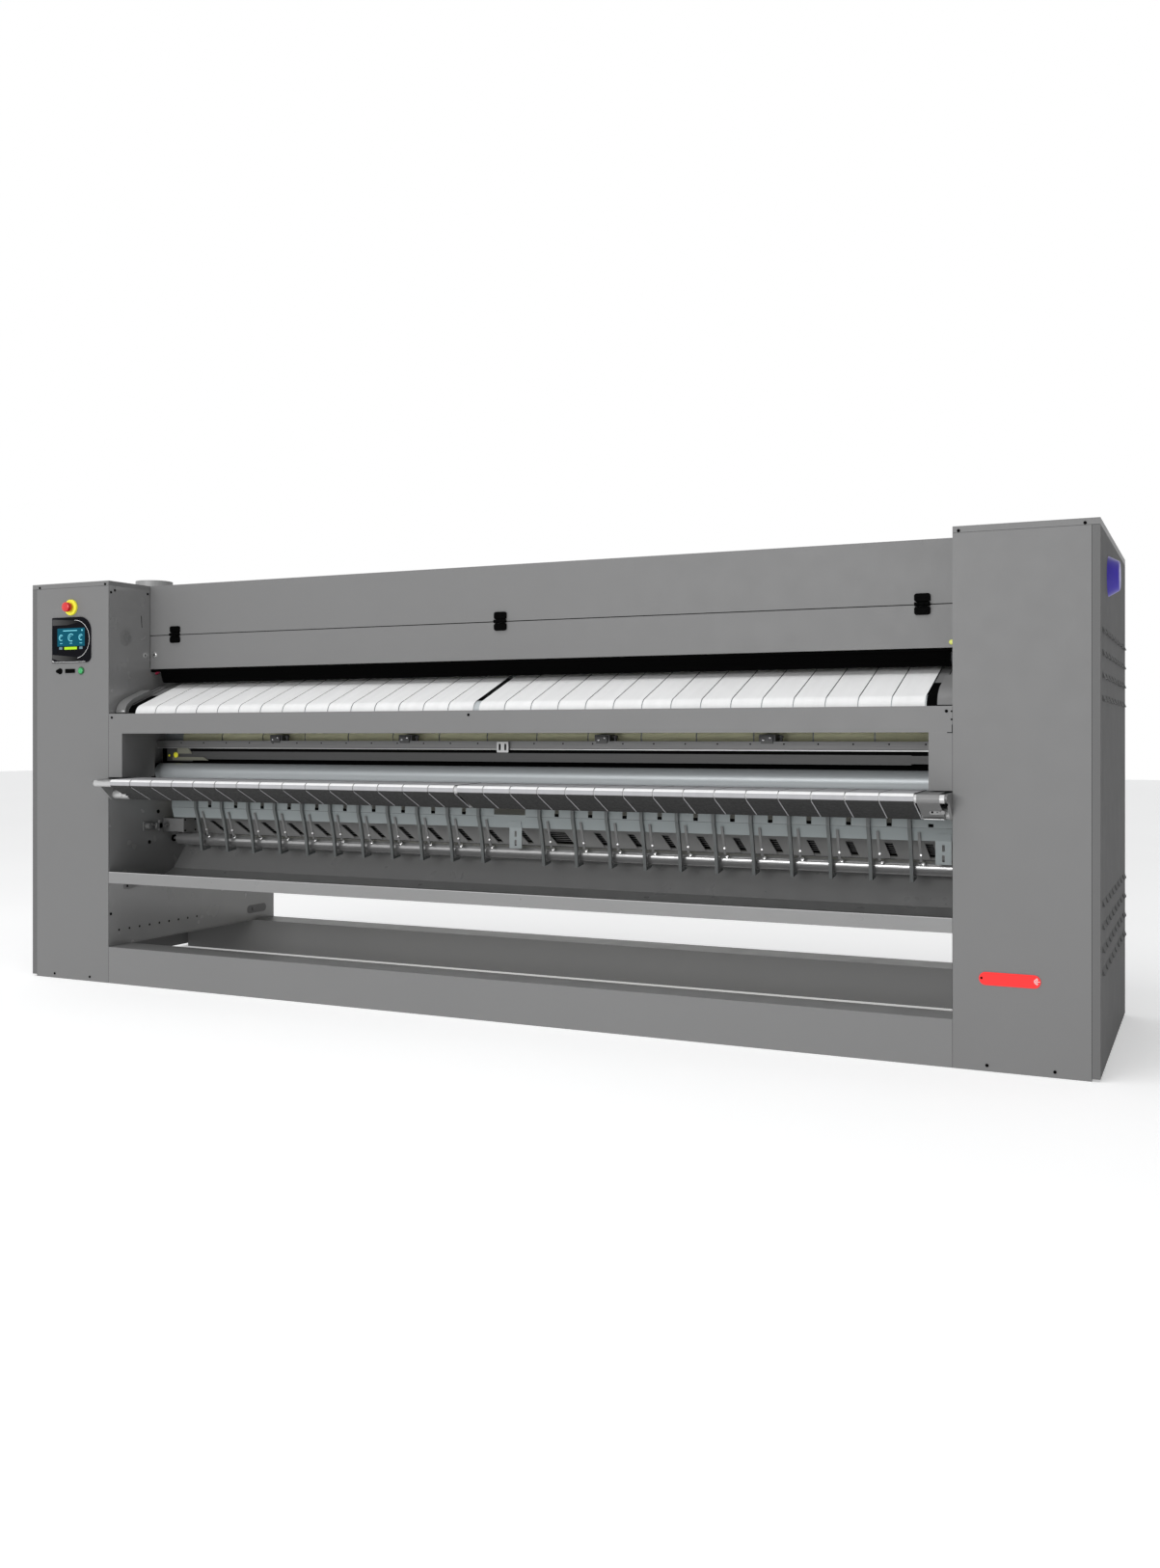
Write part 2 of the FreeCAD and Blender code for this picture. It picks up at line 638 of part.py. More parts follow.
def belt_set(label, pulleys, facets, middle_gap):
    """Two halves of narrow endless belts round the same pulleys."""
    body = new_body(label)

    def draw(sketch):
        add_polygon(sketch, taut_outline(pulleys, "belt_clear + belt_thick", facets))
        add_polygon(sketch, taut_outline(pulleys, "belt_clear", facets))

    half_row(body, draw, f"({middle_gap}) / 2", "belt_pitch - belt_slit", BELTS,
             "belt_pitch")


def feed_table():
    """Lip beam, support table, belts, rollers and the shaped pieces at both ends."""
    beam_x("lip_beam", [
        ("0", "lip_low_z"),
        ("lip_depth", "lip_low_z"),
        ("lip_depth", "lip_low_z + gauge"),
        ("gauge", "lip_low_z + gauge"),
        ("gauge", f"{LIP_TOP} - gauge"),
        ("lip_depth", f"{LIP_TOP} - gauge"),
        ("lip_depth", LIP_TOP),
        ("0", LIP_TOP),
    ], f"-({SIDE})", SIDE)
    slope = "feed_rise / feed_run"
    start = "feed_nose_radius + table_drop * 2"
    stop = "feed_run - feed_rear_radius - table_drop * 2"
    level = "feed_nose_z + feed_nose_radius - table_drop"
    low_z = f"{level} + ({start}) * {slope}"
    high_z = f"{level} + ({stop}) * {slope}"
    beam_x("feed_table", [
        (f"feed_nose_y + {start}", f"{low_z} - flange"),
        (f"feed_nose_y + {start} + table_wall", f"{low_z} - flange"),
        (f"feed_nose_y + {start} + table_wall", f"{low_z} - table_wall"),
        (f"feed_nose_y + {stop} - table_wall", f"{high_z} - table_wall"),
        (f"feed_nose_y + {stop} - table_wall", f"{high_z} - flange"),
        (f"feed_nose_y + {stop}", f"{high_z} - flange"),
        (f"feed_nose_y + {stop}", high_z),
        (f"feed_nose_y + {start}", low_z),
    ], f"-({SIDE})", SIDE)
    pulleys = [
        ("feed_nose_y", "feed_nose_z", "feed_nose_radius"),
        (FEED_REAR_Y, FEED_REAR_Z, "feed_rear_radius"),
    ]
    facets = (4, 3)
    belt_set("feed_belts", pulleys, facets, "feed_middle_gap")
    wall_end = f"{SIDE} - belt_clear"
    for name, (y, z, radius) in zip(("feed_nose_roller", "feed_rear_roller"), pulleys):
        plain_roller(name, y, z, radius, wall_end)
    strip_start = f"{FEED_END} + roller_overhang"
    cover_start = f"{strip_start} + feed_strip_width + feed_cover_gap"
    for label, low, high, rise in (
        ("feed_edge_strips", strip_start, f"{strip_start} + feed_strip_width", "0"),
        ("feed_end_covers", cover_start, SIDE, "feed_cover_rise"),
    ):
        body = new_body(label)
        sketch = new_sketch(body, "YZ_Plane", along=low)
        add_polygon(sketch, taut_outline(pulleys, f"belt_clear + belt_thick + {rise}", facets))
        add_polygon(sketch, taut_outline(pulleys, "belt_clear", facets))
        piece = pad(body, sketch, f"({high}) - ({low})")
        repeat(body, [piece], [mirror_step(body)])


# ---------------------------------------------------------------- cylinder and bands

def ironing_cylinder():
    """The heated cylinder: a hollow drum with two bored journals."""
    left = f"{FRAME_OUT} + bearing_depth"
    right = f"{left} + gearbox_depth"
    inner = f"{CYLINDER_HALF} - cylinder_end"
    turned_x("ironing_cylinder", "cylinder_y", "cylinder_z", [
        (f"-({left})", "journal_bore"),
        (f"-({left})", "journal_radius"),
        (f"-{CYLINDER_HALF}", "journal_radius"),
        (f"-{CYLINDER_HALF}", "cylinder_radius"),
        (CYLINDER_HALF, "cylinder_radius"),
        (CYLINDER_HALF, "journal_radius"),
        (right, "journal_radius"),
        (right, "0"),
        (inner, "0"),
        (inner, "cylinder_radius - cylinder_wall"),
        (f"-({inner})", "cylinder_radius - cylinder_wall"),
        (f"-({inner})", "journal_bore"),
    ])
    bearings = new_body("cylinder_bearings")
    sketch = new_sketch(bearings, "YZ_Plane", along=FRAME_OUT)
    half = "bearing_half"
    add_box(
        sketch,
        (f"cylinder_y - {half}", f"cylinder_z - {half}"),
        (f"cylinder_y + {half}", f"cylinder_z + {half}"),
    )
    add_circle(sketch, "cylinder_y", "cylinder_z", "journal_radius + running_gap")
    block = pad(bearings, sketch, "bearing_depth")
    repeat(bearings, [block], [mirror_step(bearings)])


def drive_gearmotor():
    """The geared motor that hangs on the right journal, with its motor pointing down."""
    start = f"{FRAME_OUT} + bearing_depth"
    body = new_body("drive_gearmotor")
    case = new_sketch(body, "YZ_Plane", along=start)
    half = "gearbox_half"
    cut = "gearbox_half / 2"
    low = f"cylinder_z - {half}"
    add_polygon(case, [
        (f"cylinder_y - {half}", low),
        (f"cylinder_y + {half}", low),
        (f"cylinder_y + {half}", f"cylinder_z + {half} - {cut}"),
        (f"cylinder_y + {half} - {cut}", f"cylinder_z + {half}"),
        (f"cylinder_y - {half} + {cut}", f"cylinder_z + {half}"),
        (f"cylinder_y - {half}", f"cylinder_z + {half} - {cut}"),
    ])
    add_circle(case, "cylinder_y", "cylinder_z", "journal_radius + running_gap")
    pad(body, case, "gearbox_depth")
    motor = new_sketch(body, "XY_Plane", along=f"{low} - motor_length")
    add_circle(motor, f"{start} + gearbox_depth / 2", "cylinder_y", "motor_radius")
    pad(body, motor, "motor_length")


def band_corners(inside):
    """Corners of a band's outline as drawn: along the cylinder, then back over the rollers."""
    wrap = "(band_entry_angle - band_exit_angle)"
    reach = "cylinder_radius + band_clear" + (" + band_thick" if inside else "")
    turn = "band_roller_radius + belt_clear" + ("" if inside else " + band_thick")
    corners = []
    for k in range(BAND_FACETS):
        angle = f"band_exit_angle + {wrap} * {(k + 0.5) / BAND_FACETS}"
        corner = f"({reach}) / cos({wrap} / {2 * BAND_FACETS})"
        corners.append((orbit_y(corner, angle), orbit_z(corner, angle)))
    normals = [
        "band_entry_angle + 180",
        "(band_entry_angle + idler_upper_angle) / 2 + band_lean",
        "(idler_upper_angle + idler_rear_angle) / 2",
        "(idler_rear_angle + idler_lower_angle) / 2",
        "(idler_lower_angle + band_exit_angle) / 2 - band_lean",
        "band_exit_angle - 180",
    ]
    for i, (orbit, place, facets) in enumerate(BAND_ROLLERS.values()):
        sweep = f"(({normals[i]}) - ({normals[i + 1]}))"
        corner = f"({turn}) / cos({sweep} / {2 * facets})"
        for k in range(facets):
            angle = f"{normals[i]} - {sweep} * {(k + 0.5) / facets}"
            corners.append((
                f"{orbit_y(orbit, place)} + {corner} * cos({angle})",
                f"{orbit_z(orbit, place)} + {corner} * sin({angle})",
            ))
    return corners


def ironing_bands():
    """Endless felt bands: wrapped on the cylinder, returned outside over three idlers."""
    body = new_body("ironing_bands")
    start = f"-(({BANDS} - 1) * band_pitch + band_width) / 2"
    sketch = new_sketch(body, "YZ_Plane", along=start)
    for inside in (True, False):
        add_polygon(sketch, band_corners(inside))
    band = pad(body, sketch, "band_width")
    repeat(body, [band], [row_step(body, "X_Axis", BANDS, "band_pitch")])


# ---------------------------------------------------------------- behind the window

def window_profiles():
    """Scraper beam, guide profile and the shield behind them, with brackets and end plates."""
    low = "scraper_low_z"
    high = "scraper_low_z + scraper_height"
    back = f"{PROFILE_Y} + scraper_depth"
    beam_x("scraper_beam", [
        (f"{PROFILE_Y} + gauge * 3", low),
        (back, low),
        (back, f"{low} + gauge"),
        (f"{PROFILE_Y} + gauge * 4", f"{low} + gauge"),
        (f"{PROFILE_Y} + gauge", f"{low} + gauge * 4"),
        (f"{PROFILE_Y} + gauge", f"{high} - gauge"),
        (back, f"{high} - gauge"),
        (back, high),
        (PROFILE_Y, high),
        (PROFILE_Y, f"{low} + gauge * 3"),
    ], f"-({SIDE})", SIDE)
    guide_top = "guide_low_z + guide_height"
    guide_back = f"{PROFILE_Y} + guide_depth"
    beam_x("guide_profile", [
        (f"{PROFILE_Y} + gauge", "guide_low_z"),
        (guide_back, "guide_low_z"),
        (guide_back, "guide_low_z + gauge"),
        (f"{PROFILE_Y} + gauge * 2", "guide_low_z + gauge"),
        (f"{PROFILE_Y} + gauge * 2", f"{guide_top} - gauge"),
        (guide_back, f"{guide_top} - gauge"),
        (guide_back, guide_top),
        (f"{PROFILE_Y} + gauge", guide_top),
    ], f"-{GUIDE_HALF}", GUIDE_HALF)
    beam_x("inner_shield", [
        (SHIELD_Y, "shield_low_z"),
        (f"{SHIELD_Y} + gauge", "shield_low_z"),
        (f"{SHIELD_Y} + gauge", "shield_high_z"),
        (SHIELD_Y, "shield_high_z"),
    ], f"-({SIDE})", SIDE)
    body = new_body("profile_brackets")
    face = PROFILE_Y
    half = "bracket_width / 2"
    top = f"{high} + bracket_height"
    holders = []
    for x in ("bracket_near_x", "bracket_far_x"):
        holders.append(slab_y(
            body,
            lambda sketch, x=x: add_polygon(sketch, [
                (f"{x} - {half}", f"{high} - bracket_height / 2"),
                (f"{x} + {half}", f"{high} - bracket_height / 2"),
                (f"{x} + {half}", f"{high} + bracket_height / 3"),
                (f"{x} + {half} / 2", top),
                (f"{x} - {half} / 3", top),
                (f"{x} - {half}", f"{high} + bracket_height / 3"),
            ]),
            f"{face} - bracket_thick",
            face,
        ))
    for low, high, lip in (
        ("scraper_low_z - bracket_height", "scraper_low_z + gauge * 2",
         f"{GUIDE_HALF} - bracket_width * 0.2"),
        ("guide_low_z - bracket_height / 2", "guide_low_z + gauge * 4",
         f"{GUIDE_HALF} - bracket_width * 0.95"),
    ):
        holders.append(slab_y(
            body,
            lambda sketch, low=low, high=high, lip=lip: add_polygon(sketch, [
                (lip, low),
                (SIDE, low),
                (SIDE, high),
                (f"{lip} + bracket_height", high),
            ]),
            f"{PROFILE_Y} - bracket_thick",
            f"{PROFILE_Y} + gauge",
        ))
    repeat(body, holders, [mirror_step(body)])
    slab_y(
        body,
        lambda sketch: add_box(
            sketch,
            ("-stay_width / 2", "stay_low_z"),
            ("stay_width / 2", "stay_low_z + stay_height"),
        ),
        f"{PROFILE_Y} - bracket_thick * 4",
        PROFILE_Y,
    )


def window_covers():
    """The two folded covers that close the ends of the window."""
    body = new_body("window_covers")
    sketch = new_sketch(body, "XY_Plane", along="cover_low_z")
    inner = f"{SIDE} - cover_width"
    add_polygon(sketch, [
        (inner, "0"),
        (SIDE, "0"),
        (SIDE, "flange"),
        (f"{SIDE} - gauge", "flange"),
        (f"{SIDE} - gauge", "gauge"),
        (f"{inner} + gauge", "gauge"),
        (f"{inner} + gauge", "cover_depth"),
        (inner, "cover_depth"),
    ])
    piece = pad(body, sketch, "lip_low_z - cover_low_z")
    repeat(body, [piece], [mirror_step(body)])


# ---------------------------------------------------------------- delivery conveyor

def conveyor():
    """Wedge of narrow belts that brings the ironed linen back to the operator."""
    pulleys = [
        ("nose_y", "nose_z", "nose_radius"),
        ("keel_y", "keel_z", "keel_radius"),
        ("heel_y", "heel_z", "nose_radius"),
    ]
    belt_set("conveyor_belts", pulleys, (3, 1, 2), "conveyor_middle_gap")
    plate_in = f"{SIDE} - end_plate_thick"
    plain_roller("conveyor_nose_bar", "nose_y", "nose_z", "nose_radius", plate_in)
    for label, y, z, radius in (
        ("conveyor_rear_roller", "heel_y", "heel_z", "nose_radius"),
        ("conveyor_lower_roller", "keel_y", "keel_z", "keel_radius"),
    ):
        plain_roller(label, y, z, radius, f"{plate_in} - belt_clear")
    plates = new_body("conveyor_end_plates")
    sketch = new_sketch(plates, "YZ_Plane", along=plate_in)
    add_polygon(sketch, [
        ("nose_y - nose_radius", "nose_z + nose_radius / 2"),
        ("nose_y - nose_radius", "nose_z"),
        ("nose_y + nose_radius * 2", "nose_z - nose_radius"),
        ("keel_y - keel_radius", "keel_z - keel_radius * 1.2"),
        ("heel_y + keel_radius", "keel_z - keel_radius * 1.2"),
        ("heel_y + keel_radius", "heel_z + nose_radius"),
        ("nose_y", "nose_z + nose_radius"),
    ])
    piece = pad(plates, sketch, "end_plate_thick")
    repeat(plates, [piece], [mirror_step(plates)])


# ---------------------------------------------------------------- folding comb, roll and bed

def comb_plate():
    """The folded plate that hangs on the comb shaft, notched between the fingers."""
    body = new_body("comb_plate")
    front = "comb_y"
    top = "pivot_z + pivot_radius + joint_gap"
    sketch = new_sketch(body, "YZ_Plane", along=f"-{COMB_HALF}")
    add_polygon(sketch, [
        (front, f"{top} + comb_thick"),
        (front, "comb_fold_z"),
        (f"{front} + comb_lean", "comb_low_z"),
        (f"{front} + comb_lean + comb_thick", "comb_low_z"),
        (f"{front} + comb_thick", "comb_fold_z"),
        (f"{front} + comb_thick", top),
        (f"{PIVOT_Y} + pivot_radius", top),
        (f"{PIVOT_Y} + pivot_radius", f"{top} + comb_thick"),
    ])
    pad(body, sketch, f"2 * {COMB_HALF}")
    front_plane = f"-({front} + comb_thick)"
    notch = new_sketch(body, "XZ_Plane", along=front_plane)
    middle = "finger_first_x + finger_pitch / 2"
    add_box(
        notch,
        (f"{middle} - notch_width / 2", "notch_floor_z"),
        (f"{middle} + notch_width / 2", "pivot_z - pivot_radius"),
    )
    cut = body.newObject("PartDesign::Pocket", "comb_notch")
    cut.Profile = notch
    cut.Reversed = True
    bind(cut, "Length", "comb_thick * 2")
    row = row_step(body, "X_Axis", f"{FINGERS} - 1", "finger_pitch")
    repeat(body, [cut], [row, mirror_step(body)])
    gap = new_sketch(body, "XZ_Plane", along=front_plane)
    add_box(
        gap,
        ("-comb_window / 2", "notch_floor_z - gauge * 4"),
        ("comb_window / 2", "pivot_z - pivot_radius"),
    )
    window = body.newObject("PartDesign::Pocket", "comb_window_cut")
    window.Profile = gap
    window.Reversed = True
    bind(window, "Length", "comb_thick * 2")
    body.Tip = window
    comb_hangers(body)


def comb_hangers(body):
    """Two slotted tabs that hang from the comb's lower edge, at the middle and at the right."""
    lean = "comb_lean / (comb_fold_z - comb_low_z)"
    front = "comb_y + comb_lean"
    top_y = f"comb_y + (comb_fold_z - hanger_top_z) * {lean}"
    for x in HANGERS:
        sketch = new_sketch(body, "YZ_Plane", along=f"{x} - hanger_width / 2")
        add_polygon(sketch, [
            (f"{top_y} - comb_thick", "hanger_top_z"),
            (f"{front} - comb_thick", "comb_low_z"),
            (f"{front} - comb_thick", "hanger_low_z"),
            (front, "hanger_low_z"),
            (front, "comb_low_z"),
            (top_y, "hanger_top_z"),
        ])
        pad(body, sketch, "hanger_width")
    slots = new_sketch(body, "XZ_Plane", along=f"-({front})")
    for x in HANGERS:
        for low in ("hanger_low_z + hanger_slot_width",
                    "hanger_low_z + hanger_slot_width + hanger_slot_pitch"):
            add_box(
                slots,
                (f"{x} - hanger_slot_width / 2", low),
                (f"{x} + hanger_slot_width / 2", f"{low} + hanger_slot_height"),
            )
    cut = pocket(body, slots, "comb_thick * 2")
    cut.Reversed = True


def folding_fingers():
    """Curved fingers riveted to the front of the comb, their feet hooked under the roll."""
    def foot(radius, angle):
        return (f"{PIVOT_Y} + ({radius}) * sin({angle})", f"pivot_z - ({radius}) * cos({angle})")

    face = "comb_y"
    inner = "foot_inner"
    outer = "foot_inner + foot_thick"
    heel = "foot_heel_angle"
    tip = "foot_tip_angle"
    outline = [
        (face, "finger_top_z"),
        (f"{face} - finger_depth", "finger_top_z"),
        (f"{face} - finger_depth", "comb_fold_z"),
        (f"{face} + comb_lean - finger_depth", "comb_low_z"),
        ("finger_knee_y - finger_depth / 2", "finger_knee_z"),
        foot(outer, heel),
        foot(outer, tip),
        foot(inner, tip),
        foot(inner, f"{heel} + 2"),
        ("finger_knee_y + finger_depth / 2", "finger_knee_z"),
        (f"{face} + comb_lean", "comb_low_z"),
        (face, "comb_fold_z"),
    ]
    body = new_body("folding_fingers")
    half_row(
        body,
        lambda sketch: add_polygon(sketch, outline),
        "finger_first_x - finger_width / 2",
        "finger_width",
        FINGERS,
        "finger_pitch",
    )


def strip_bed():
    """The sloping bed behind the fingers: two rows of slots, and one wider hole between them."""
    body = new_body("strip_bed")
    sketch = new_sketch(body, "YZ_Plane", along=f"-({SIDE})")
    add_polygon(sketch, [
        ("bed_top_y", "bed_top_z"),
        ("bed_low_y", "bed_low_z"),
        ("bed_low_y", "bed_low_z - bed_flange"),
        ("bed_low_y - bed_thick", "bed_low_z - bed_flange"),
        ("bed_low_y - bed_thick", "bed_low_z - bed_thick"),
        ("bed_top_y", "bed_top_z - bed_thick * 1.2"),
    ])
    pad(body, sketch, f"2 * ({SIDE})")

    def slot(middle, width):
        outline = new_sketch(body, "XY_Plane", along="bed_top_z")
        add_box(
            outline,
            (f"{middle} - {width} / 2", "bed_top_y + slot_margin"),
            (f"{middle} + {width} / 2", "bed_low_y - slot_margin / 2"),
        )
        return pocket(body, outline, "bed_top_z - bed_low_z + bed_flange")

    slot("bed_hole_x", "bed_hole_width")
    for middle, count, leftwards in (
        ("-slot_left_x", f"floor(({SIDE} - slot_left_x) / finger_pitch)", True),
        ("slot_right_x", f"floor(({SIDE} - slot_right_x) / finger_pitch)", False),
    ):
        first = slot(middle, "slot_width")
        row = row_step(body, "X_Axis", count, "finger_pitch")
        row.Reversed = leftwards
        repeat(body, [first], [row])


def catch_tray():
    """The tray that catches the folded linen: hemmed lip, flat floor and rising back."""
    wall = "tray_wall"
    low = "tray_low_z"
    beam_x("catch_tray", [
        ("0", low),
        ("0", "tray_lip_z"),
        (f"{wall} * 3", "tray_lip_z"),
        (f"{wall} * 3", "tray_lip_z - tray_hem"),
        (f"{wall} * 2", "tray_lip_z - tray_hem"),
        (f"{wall} * 2", f"tray_lip_z - {wall}"),
        (wall, f"tray_lip_z - {wall}"),
        (wall, f"{low} + {wall}"),
        ("tray_floor_y", f"{low} + {wall} * 4"),
        ("tray_bend_y", f"{low} + {wall} * 15"),
        ("tray_top_y", "tray_top_z"),
        (f"tray_top_y + {wall}", f"tray_top_z - {wall}"),
        (f"tray_bend_y + {wall}", f"{low} + {wall} * 13"),
        ("tray_floor_y", f"{low} + {wall} * 3"),
        (f"{wall} * 2", low),
    ], f"-({SIDE})", SIDE)


# ---------------------------------------------------------------- controls and trim

def exhaust_collar():
    """The round spigot for the extraction duct on the left lid."""
    body = new_body("exhaust_collar")
    sketch = new_sketch(body, "XY_Plane", along="overall_height")
    add_circle(sketch, f"-{COLLAR_X}", "collar_y", "collar_radius")
    add_circle(sketch, f"-{COLLAR_X}", "collar_y", "collar_radius - collar_wall")
    pad(body, sketch, "collar_height")


def control_panel():
    """Display bezel with its screen, stop button, start button and the two covered ports."""
    bezel = new_body("display_bezel")
    left = f"-{PANEL_X} - panel_width / 2"
    right = f"-{PANEL_X} + panel_width / 2"
    low = f"{PANEL_Z} - panel_height / 2"
    high = f"{PANEL_Z} + panel_height / 2"

    def outline(sketch):
        add_polygon(sketch, [
            (left, low),
            (f"{right} - panel_corner / 2", low),
            (right, f"{low} + panel_corner / 2"),
            (right, f"{high} - panel_corner"),
            (f"{right} - panel_corner * 0.3", f"{high} - panel_corner * 0.3"),
            (f"{right} - panel_corner", high),
            (left, high),
        ])
        add_screen(sketch, "0")

    slab_y(bezel, outline, "-panel_proud", "0")
    screen = new_body("display_screen")
    slab_y(screen, lambda sketch: add_screen(sketch, "running_gap"), "-panel_proud + gauge / 2",
           "gauge")

    stem = ("stop_stem", f"-{STOP_X}", STOP_Z, SMALL_SIDES)
    head = ("stop_head", f"-{STOP_X}", STOP_Z, KNOB_SIDES)
    collar = new_body("stop_collar")

    def collar_ring(sketch):
        add_polygon(sketch, ring_of_corners("stop_collar", f"-{STOP_X}", STOP_Z, KNOB_SIDES))
        add_polygon(sketch, ring_of_corners("stop_stem + running_gap", *stem[1:]))

    slab_y(collar, collar_ring, "-stop_collar_thick", "0")
    button = new_body("stop_button")
    head_back = "-(stop_collar_thick + stop_travel + gauge)"
    slab_y(button, lambda sketch: add_polygon(sketch, ring_of_corners(*stem)), head_back,
           "button_depth")
    slab_y(button, lambda sketch: add_polygon(sketch, ring_of_corners(*head)),
           f"{head_back} - stop_head_thick", head_back)
    start = new_body("start_button")
    slab_y(start, lambda sketch: add_polygon(
        sketch, ring_of_corners("button_radius", f"-{BUTTON_X}", BUTTON_Z, KNOB_SIDES)
    ), "-button_proud", "button_depth")
    ports = new_body("panel_ports")
    slab_y(ports, lambda sketch: add_box(
        sketch,
        (f"-{PORT_X} - port_width / 2", f"{BUTTON_Z} - port_height / 2"),
        (f"-{PORT_X} + port_width / 2", f"{BUTTON_Z} + port_height / 2"),
    ), "-port_proud", "0")
    slab_y(ports, lambda sketch: add_polygon(sketch, taut_outline([
        (f"-{KEY_X} - key_length / 2 + key_radius / 2", BUTTON_Z, "key_radius / 2"),
        (f"-{KEY_X} + key_length / 2 - key_radius", BUTTON_Z, "key_radius"),
    ], "0", (3, 5))), "-port_proud", "0")


def add_screen(sketch, inset):
    """The screen's rectangle, the same in the bezel and on the screen itself."""
    half_width = f"(screen_width / 2 - {inset})"
    half_height = f"(screen_height / 2 - {inset})"
    add_box(
        sketch,
        (f"-{PANEL_X} - {half_width}", f"{SCREEN_Z} - {half_height}"),
        (f"-{PANEL_X} + {half_width}", f"{SCREEN_Z} + {half_height}"),
    )


def right_cabinet_trim():
    """The tapered cap on the outer side and the long round-ended plate on the front cover."""
    cap = new_body("side_cap")
    base = new_sketch(cap, "YZ_Plane", along=OUTER)
    centre_z = "overall_height - cap_drop"
    add_polygon(base, ring_of_corners("cap_base", "cap_y", centre_z, KNOB_SIDES))
    block = pad(cap, base, "cap_reach")
    taper = cap.newObject("PartDesign::Chamfer", "side_cap_taper")
    DOC.recompute()
    faces = block.Shape.Faces
    outer_face = max(range(len(faces)), key=lambda i: faces[i].CenterOfMass.x)
    taper.Base = (block, [f"Face{outer_face + 1}"])
    taper.ChamferType = "Two distances"
    bind(taper, "Size", "cap_reach - gauge")
    bind(taper, "Size2", "cap_base - cap_tip")
    cap.Tip = taper
    plate = new_body("red_cover_plate")
    round_end = "plate_height / 2"
    slab_y(plate, lambda sketch: add_polygon(sketch, taut_outline([
        (f"{PLATE_X} - plate_length / 2 + {round_end}", "plate_z", round_end),
        (f"{PLATE_X} + plate_length / 2 - {round_end}", "plate_z", round_end),
    ], "0", (5, 5))), "-plate_proud", "0")


def comb_actuator():
    """The short cylinder on the left side frame that works the comb, with its rod."""
    body = new_body("comb_actuator")
    wall = f"-({SIDE})"
    block = new_sketch(body, "YZ_Plane", along=wall)
    add_box(
        block,
        ("actuator_y - actuator_length / 2", "actuator_z - actuator_height / 2"),
        ("actuator_y + actuator_length / 2", "actuator_z + actuator_height / 2"),
    )
    pad(body, block, "actuator_reach")
    rod = new_sketch(body, "XZ_Plane", along="-(actuator_y - actuator_length / 2)")
    add_circle(rod, f"{wall} + actuator_reach / 4", "actuator_z", "actuator_rod")
    pad(body, rod, "actuator_stroke")


def panel_screws():
    """Screw heads on the lids, the front covers and the lip beam."""
    body = new_body("panel_screws")
    lid_z = f"{BODY_TOP} + screw_rise"
    lip_z = f"{LIP_TOP} - screw_lip_drop"
    places = [
        (f"{SIDE} + screw_inset", lid_z),
        (f"{OUTER} - side_strip - screw_inset", lid_z),
        (f"{SIDE} + screw_foot", "screw_inset"),
        (f"{OUTER} - side_strip - screw_foot", "screw_inset"),
        (f"{SIDE} - screw_inset", lip_z),
    ]

    def head(x, z):
        corners = ring_of_corners("screw_radius", x, z, SMALL_SIDES)
        return slab_y(body, lambda sketch: add_polygon(sketch, corners), "-screw_head", "0")

    repeat(body, [head(x, z) for x, z in places], [mirror_step(body)])
    body.Tip = head("0", lip_z)


# ---------------------------------------------------------------- the whole machine

def build():
    """Make every sub-part in the order in which the machine goes together."""
    channel("base_front_beam", "0", "front_beam_depth", SIDE)
    channel("base_rear_beam", "cabinet_depth - rear_beam_depth - rear_beam_inset",
            "rear_beam_depth", f"{OUTER} - rear_beam_margin")
    for name, side in (("left", -1), ("right", 1)):
        side_frame(f"{name}_side_frame", side)
        front_cover(f"{name}_front_cover", side, control_holes if side < 0 else None)
        outer_panel(f"{name}_outer_panel", side)
        top_lid(f"{name}_top_lid", side, side < 0)
    hood()
    flap_hinges()
    finger_guard()
    feed_table()
    ironing_cylinder()
    drive_gearmotor()
    ironing_bands()
    for name, (orbit, angle, _) in BAND_ROLLERS.items():
        plain_roller(name, orbit_y(orbit, angle), orbit_z(orbit, angle), "band_roller_radius",
                     f"{SIDE} - belt_clear")
    window_profiles()
    window_covers()
    necked_roller("transfer_roller", "transfer_radius", f"({SIDE} - transfer_margin)")
    conveyor()
    comb_plate()
    folding_fingers()
    turned_x("comb_shaft", PIVOT_Y, "pivot_z", [
        (f"-({FRAME_OUT})", "0"),
        (f"-({FRAME_OUT})", "pivot_radius"),
        (FRAME_OUT, "pivot_radius"),
        (FRAME_OUT, "0"),
    ])
    strip_bed()
    necked_roller("folding_roll", "roll_radius", f"({SIDE} - roll_margin)")
    catch_tray()
    exhaust_collar()
    control_panel()
    right_cabinet_trim()
    comb_actuator()
    panel_screws()


def check_and_write():
    """Move the pieces to the row frame, check them all, and write one file for each."""
    for node in NODES:
        bind(node, "Placement.Base.y", FRONT_SHIFT)
    DOC.recompute()
    for thing in DOC.Objects:
        if "Invalid" in thing.State or "Error" in thing.State:
            raise RuntimeError(f"{thing.Name} ({thing.Label}) failed: {thing.State}")
    os.makedirs("parts", exist_ok=True)
    for node in NODES:
        if node.Shape.isNull() or not node.Shape.isValid() or not node.Shape.Solids:
            raise RuntimeError(f"{node.Label} has no valid solid")
    for node in NODES:
        node.Shape.exportStep(f"parts/{node.Label}.step")
        print(node.Label, len(node.Shape.Solids), round(node.Shape.Volume))


build()
check_and_write()
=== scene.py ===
"""Looks of the flatwork ironer: soft belts and bands, controls, small fittings and all finishes.

Places are written in millimetres as (X, Y, Z), with Y from the front plane of the cabinets.
"""

import json
import math

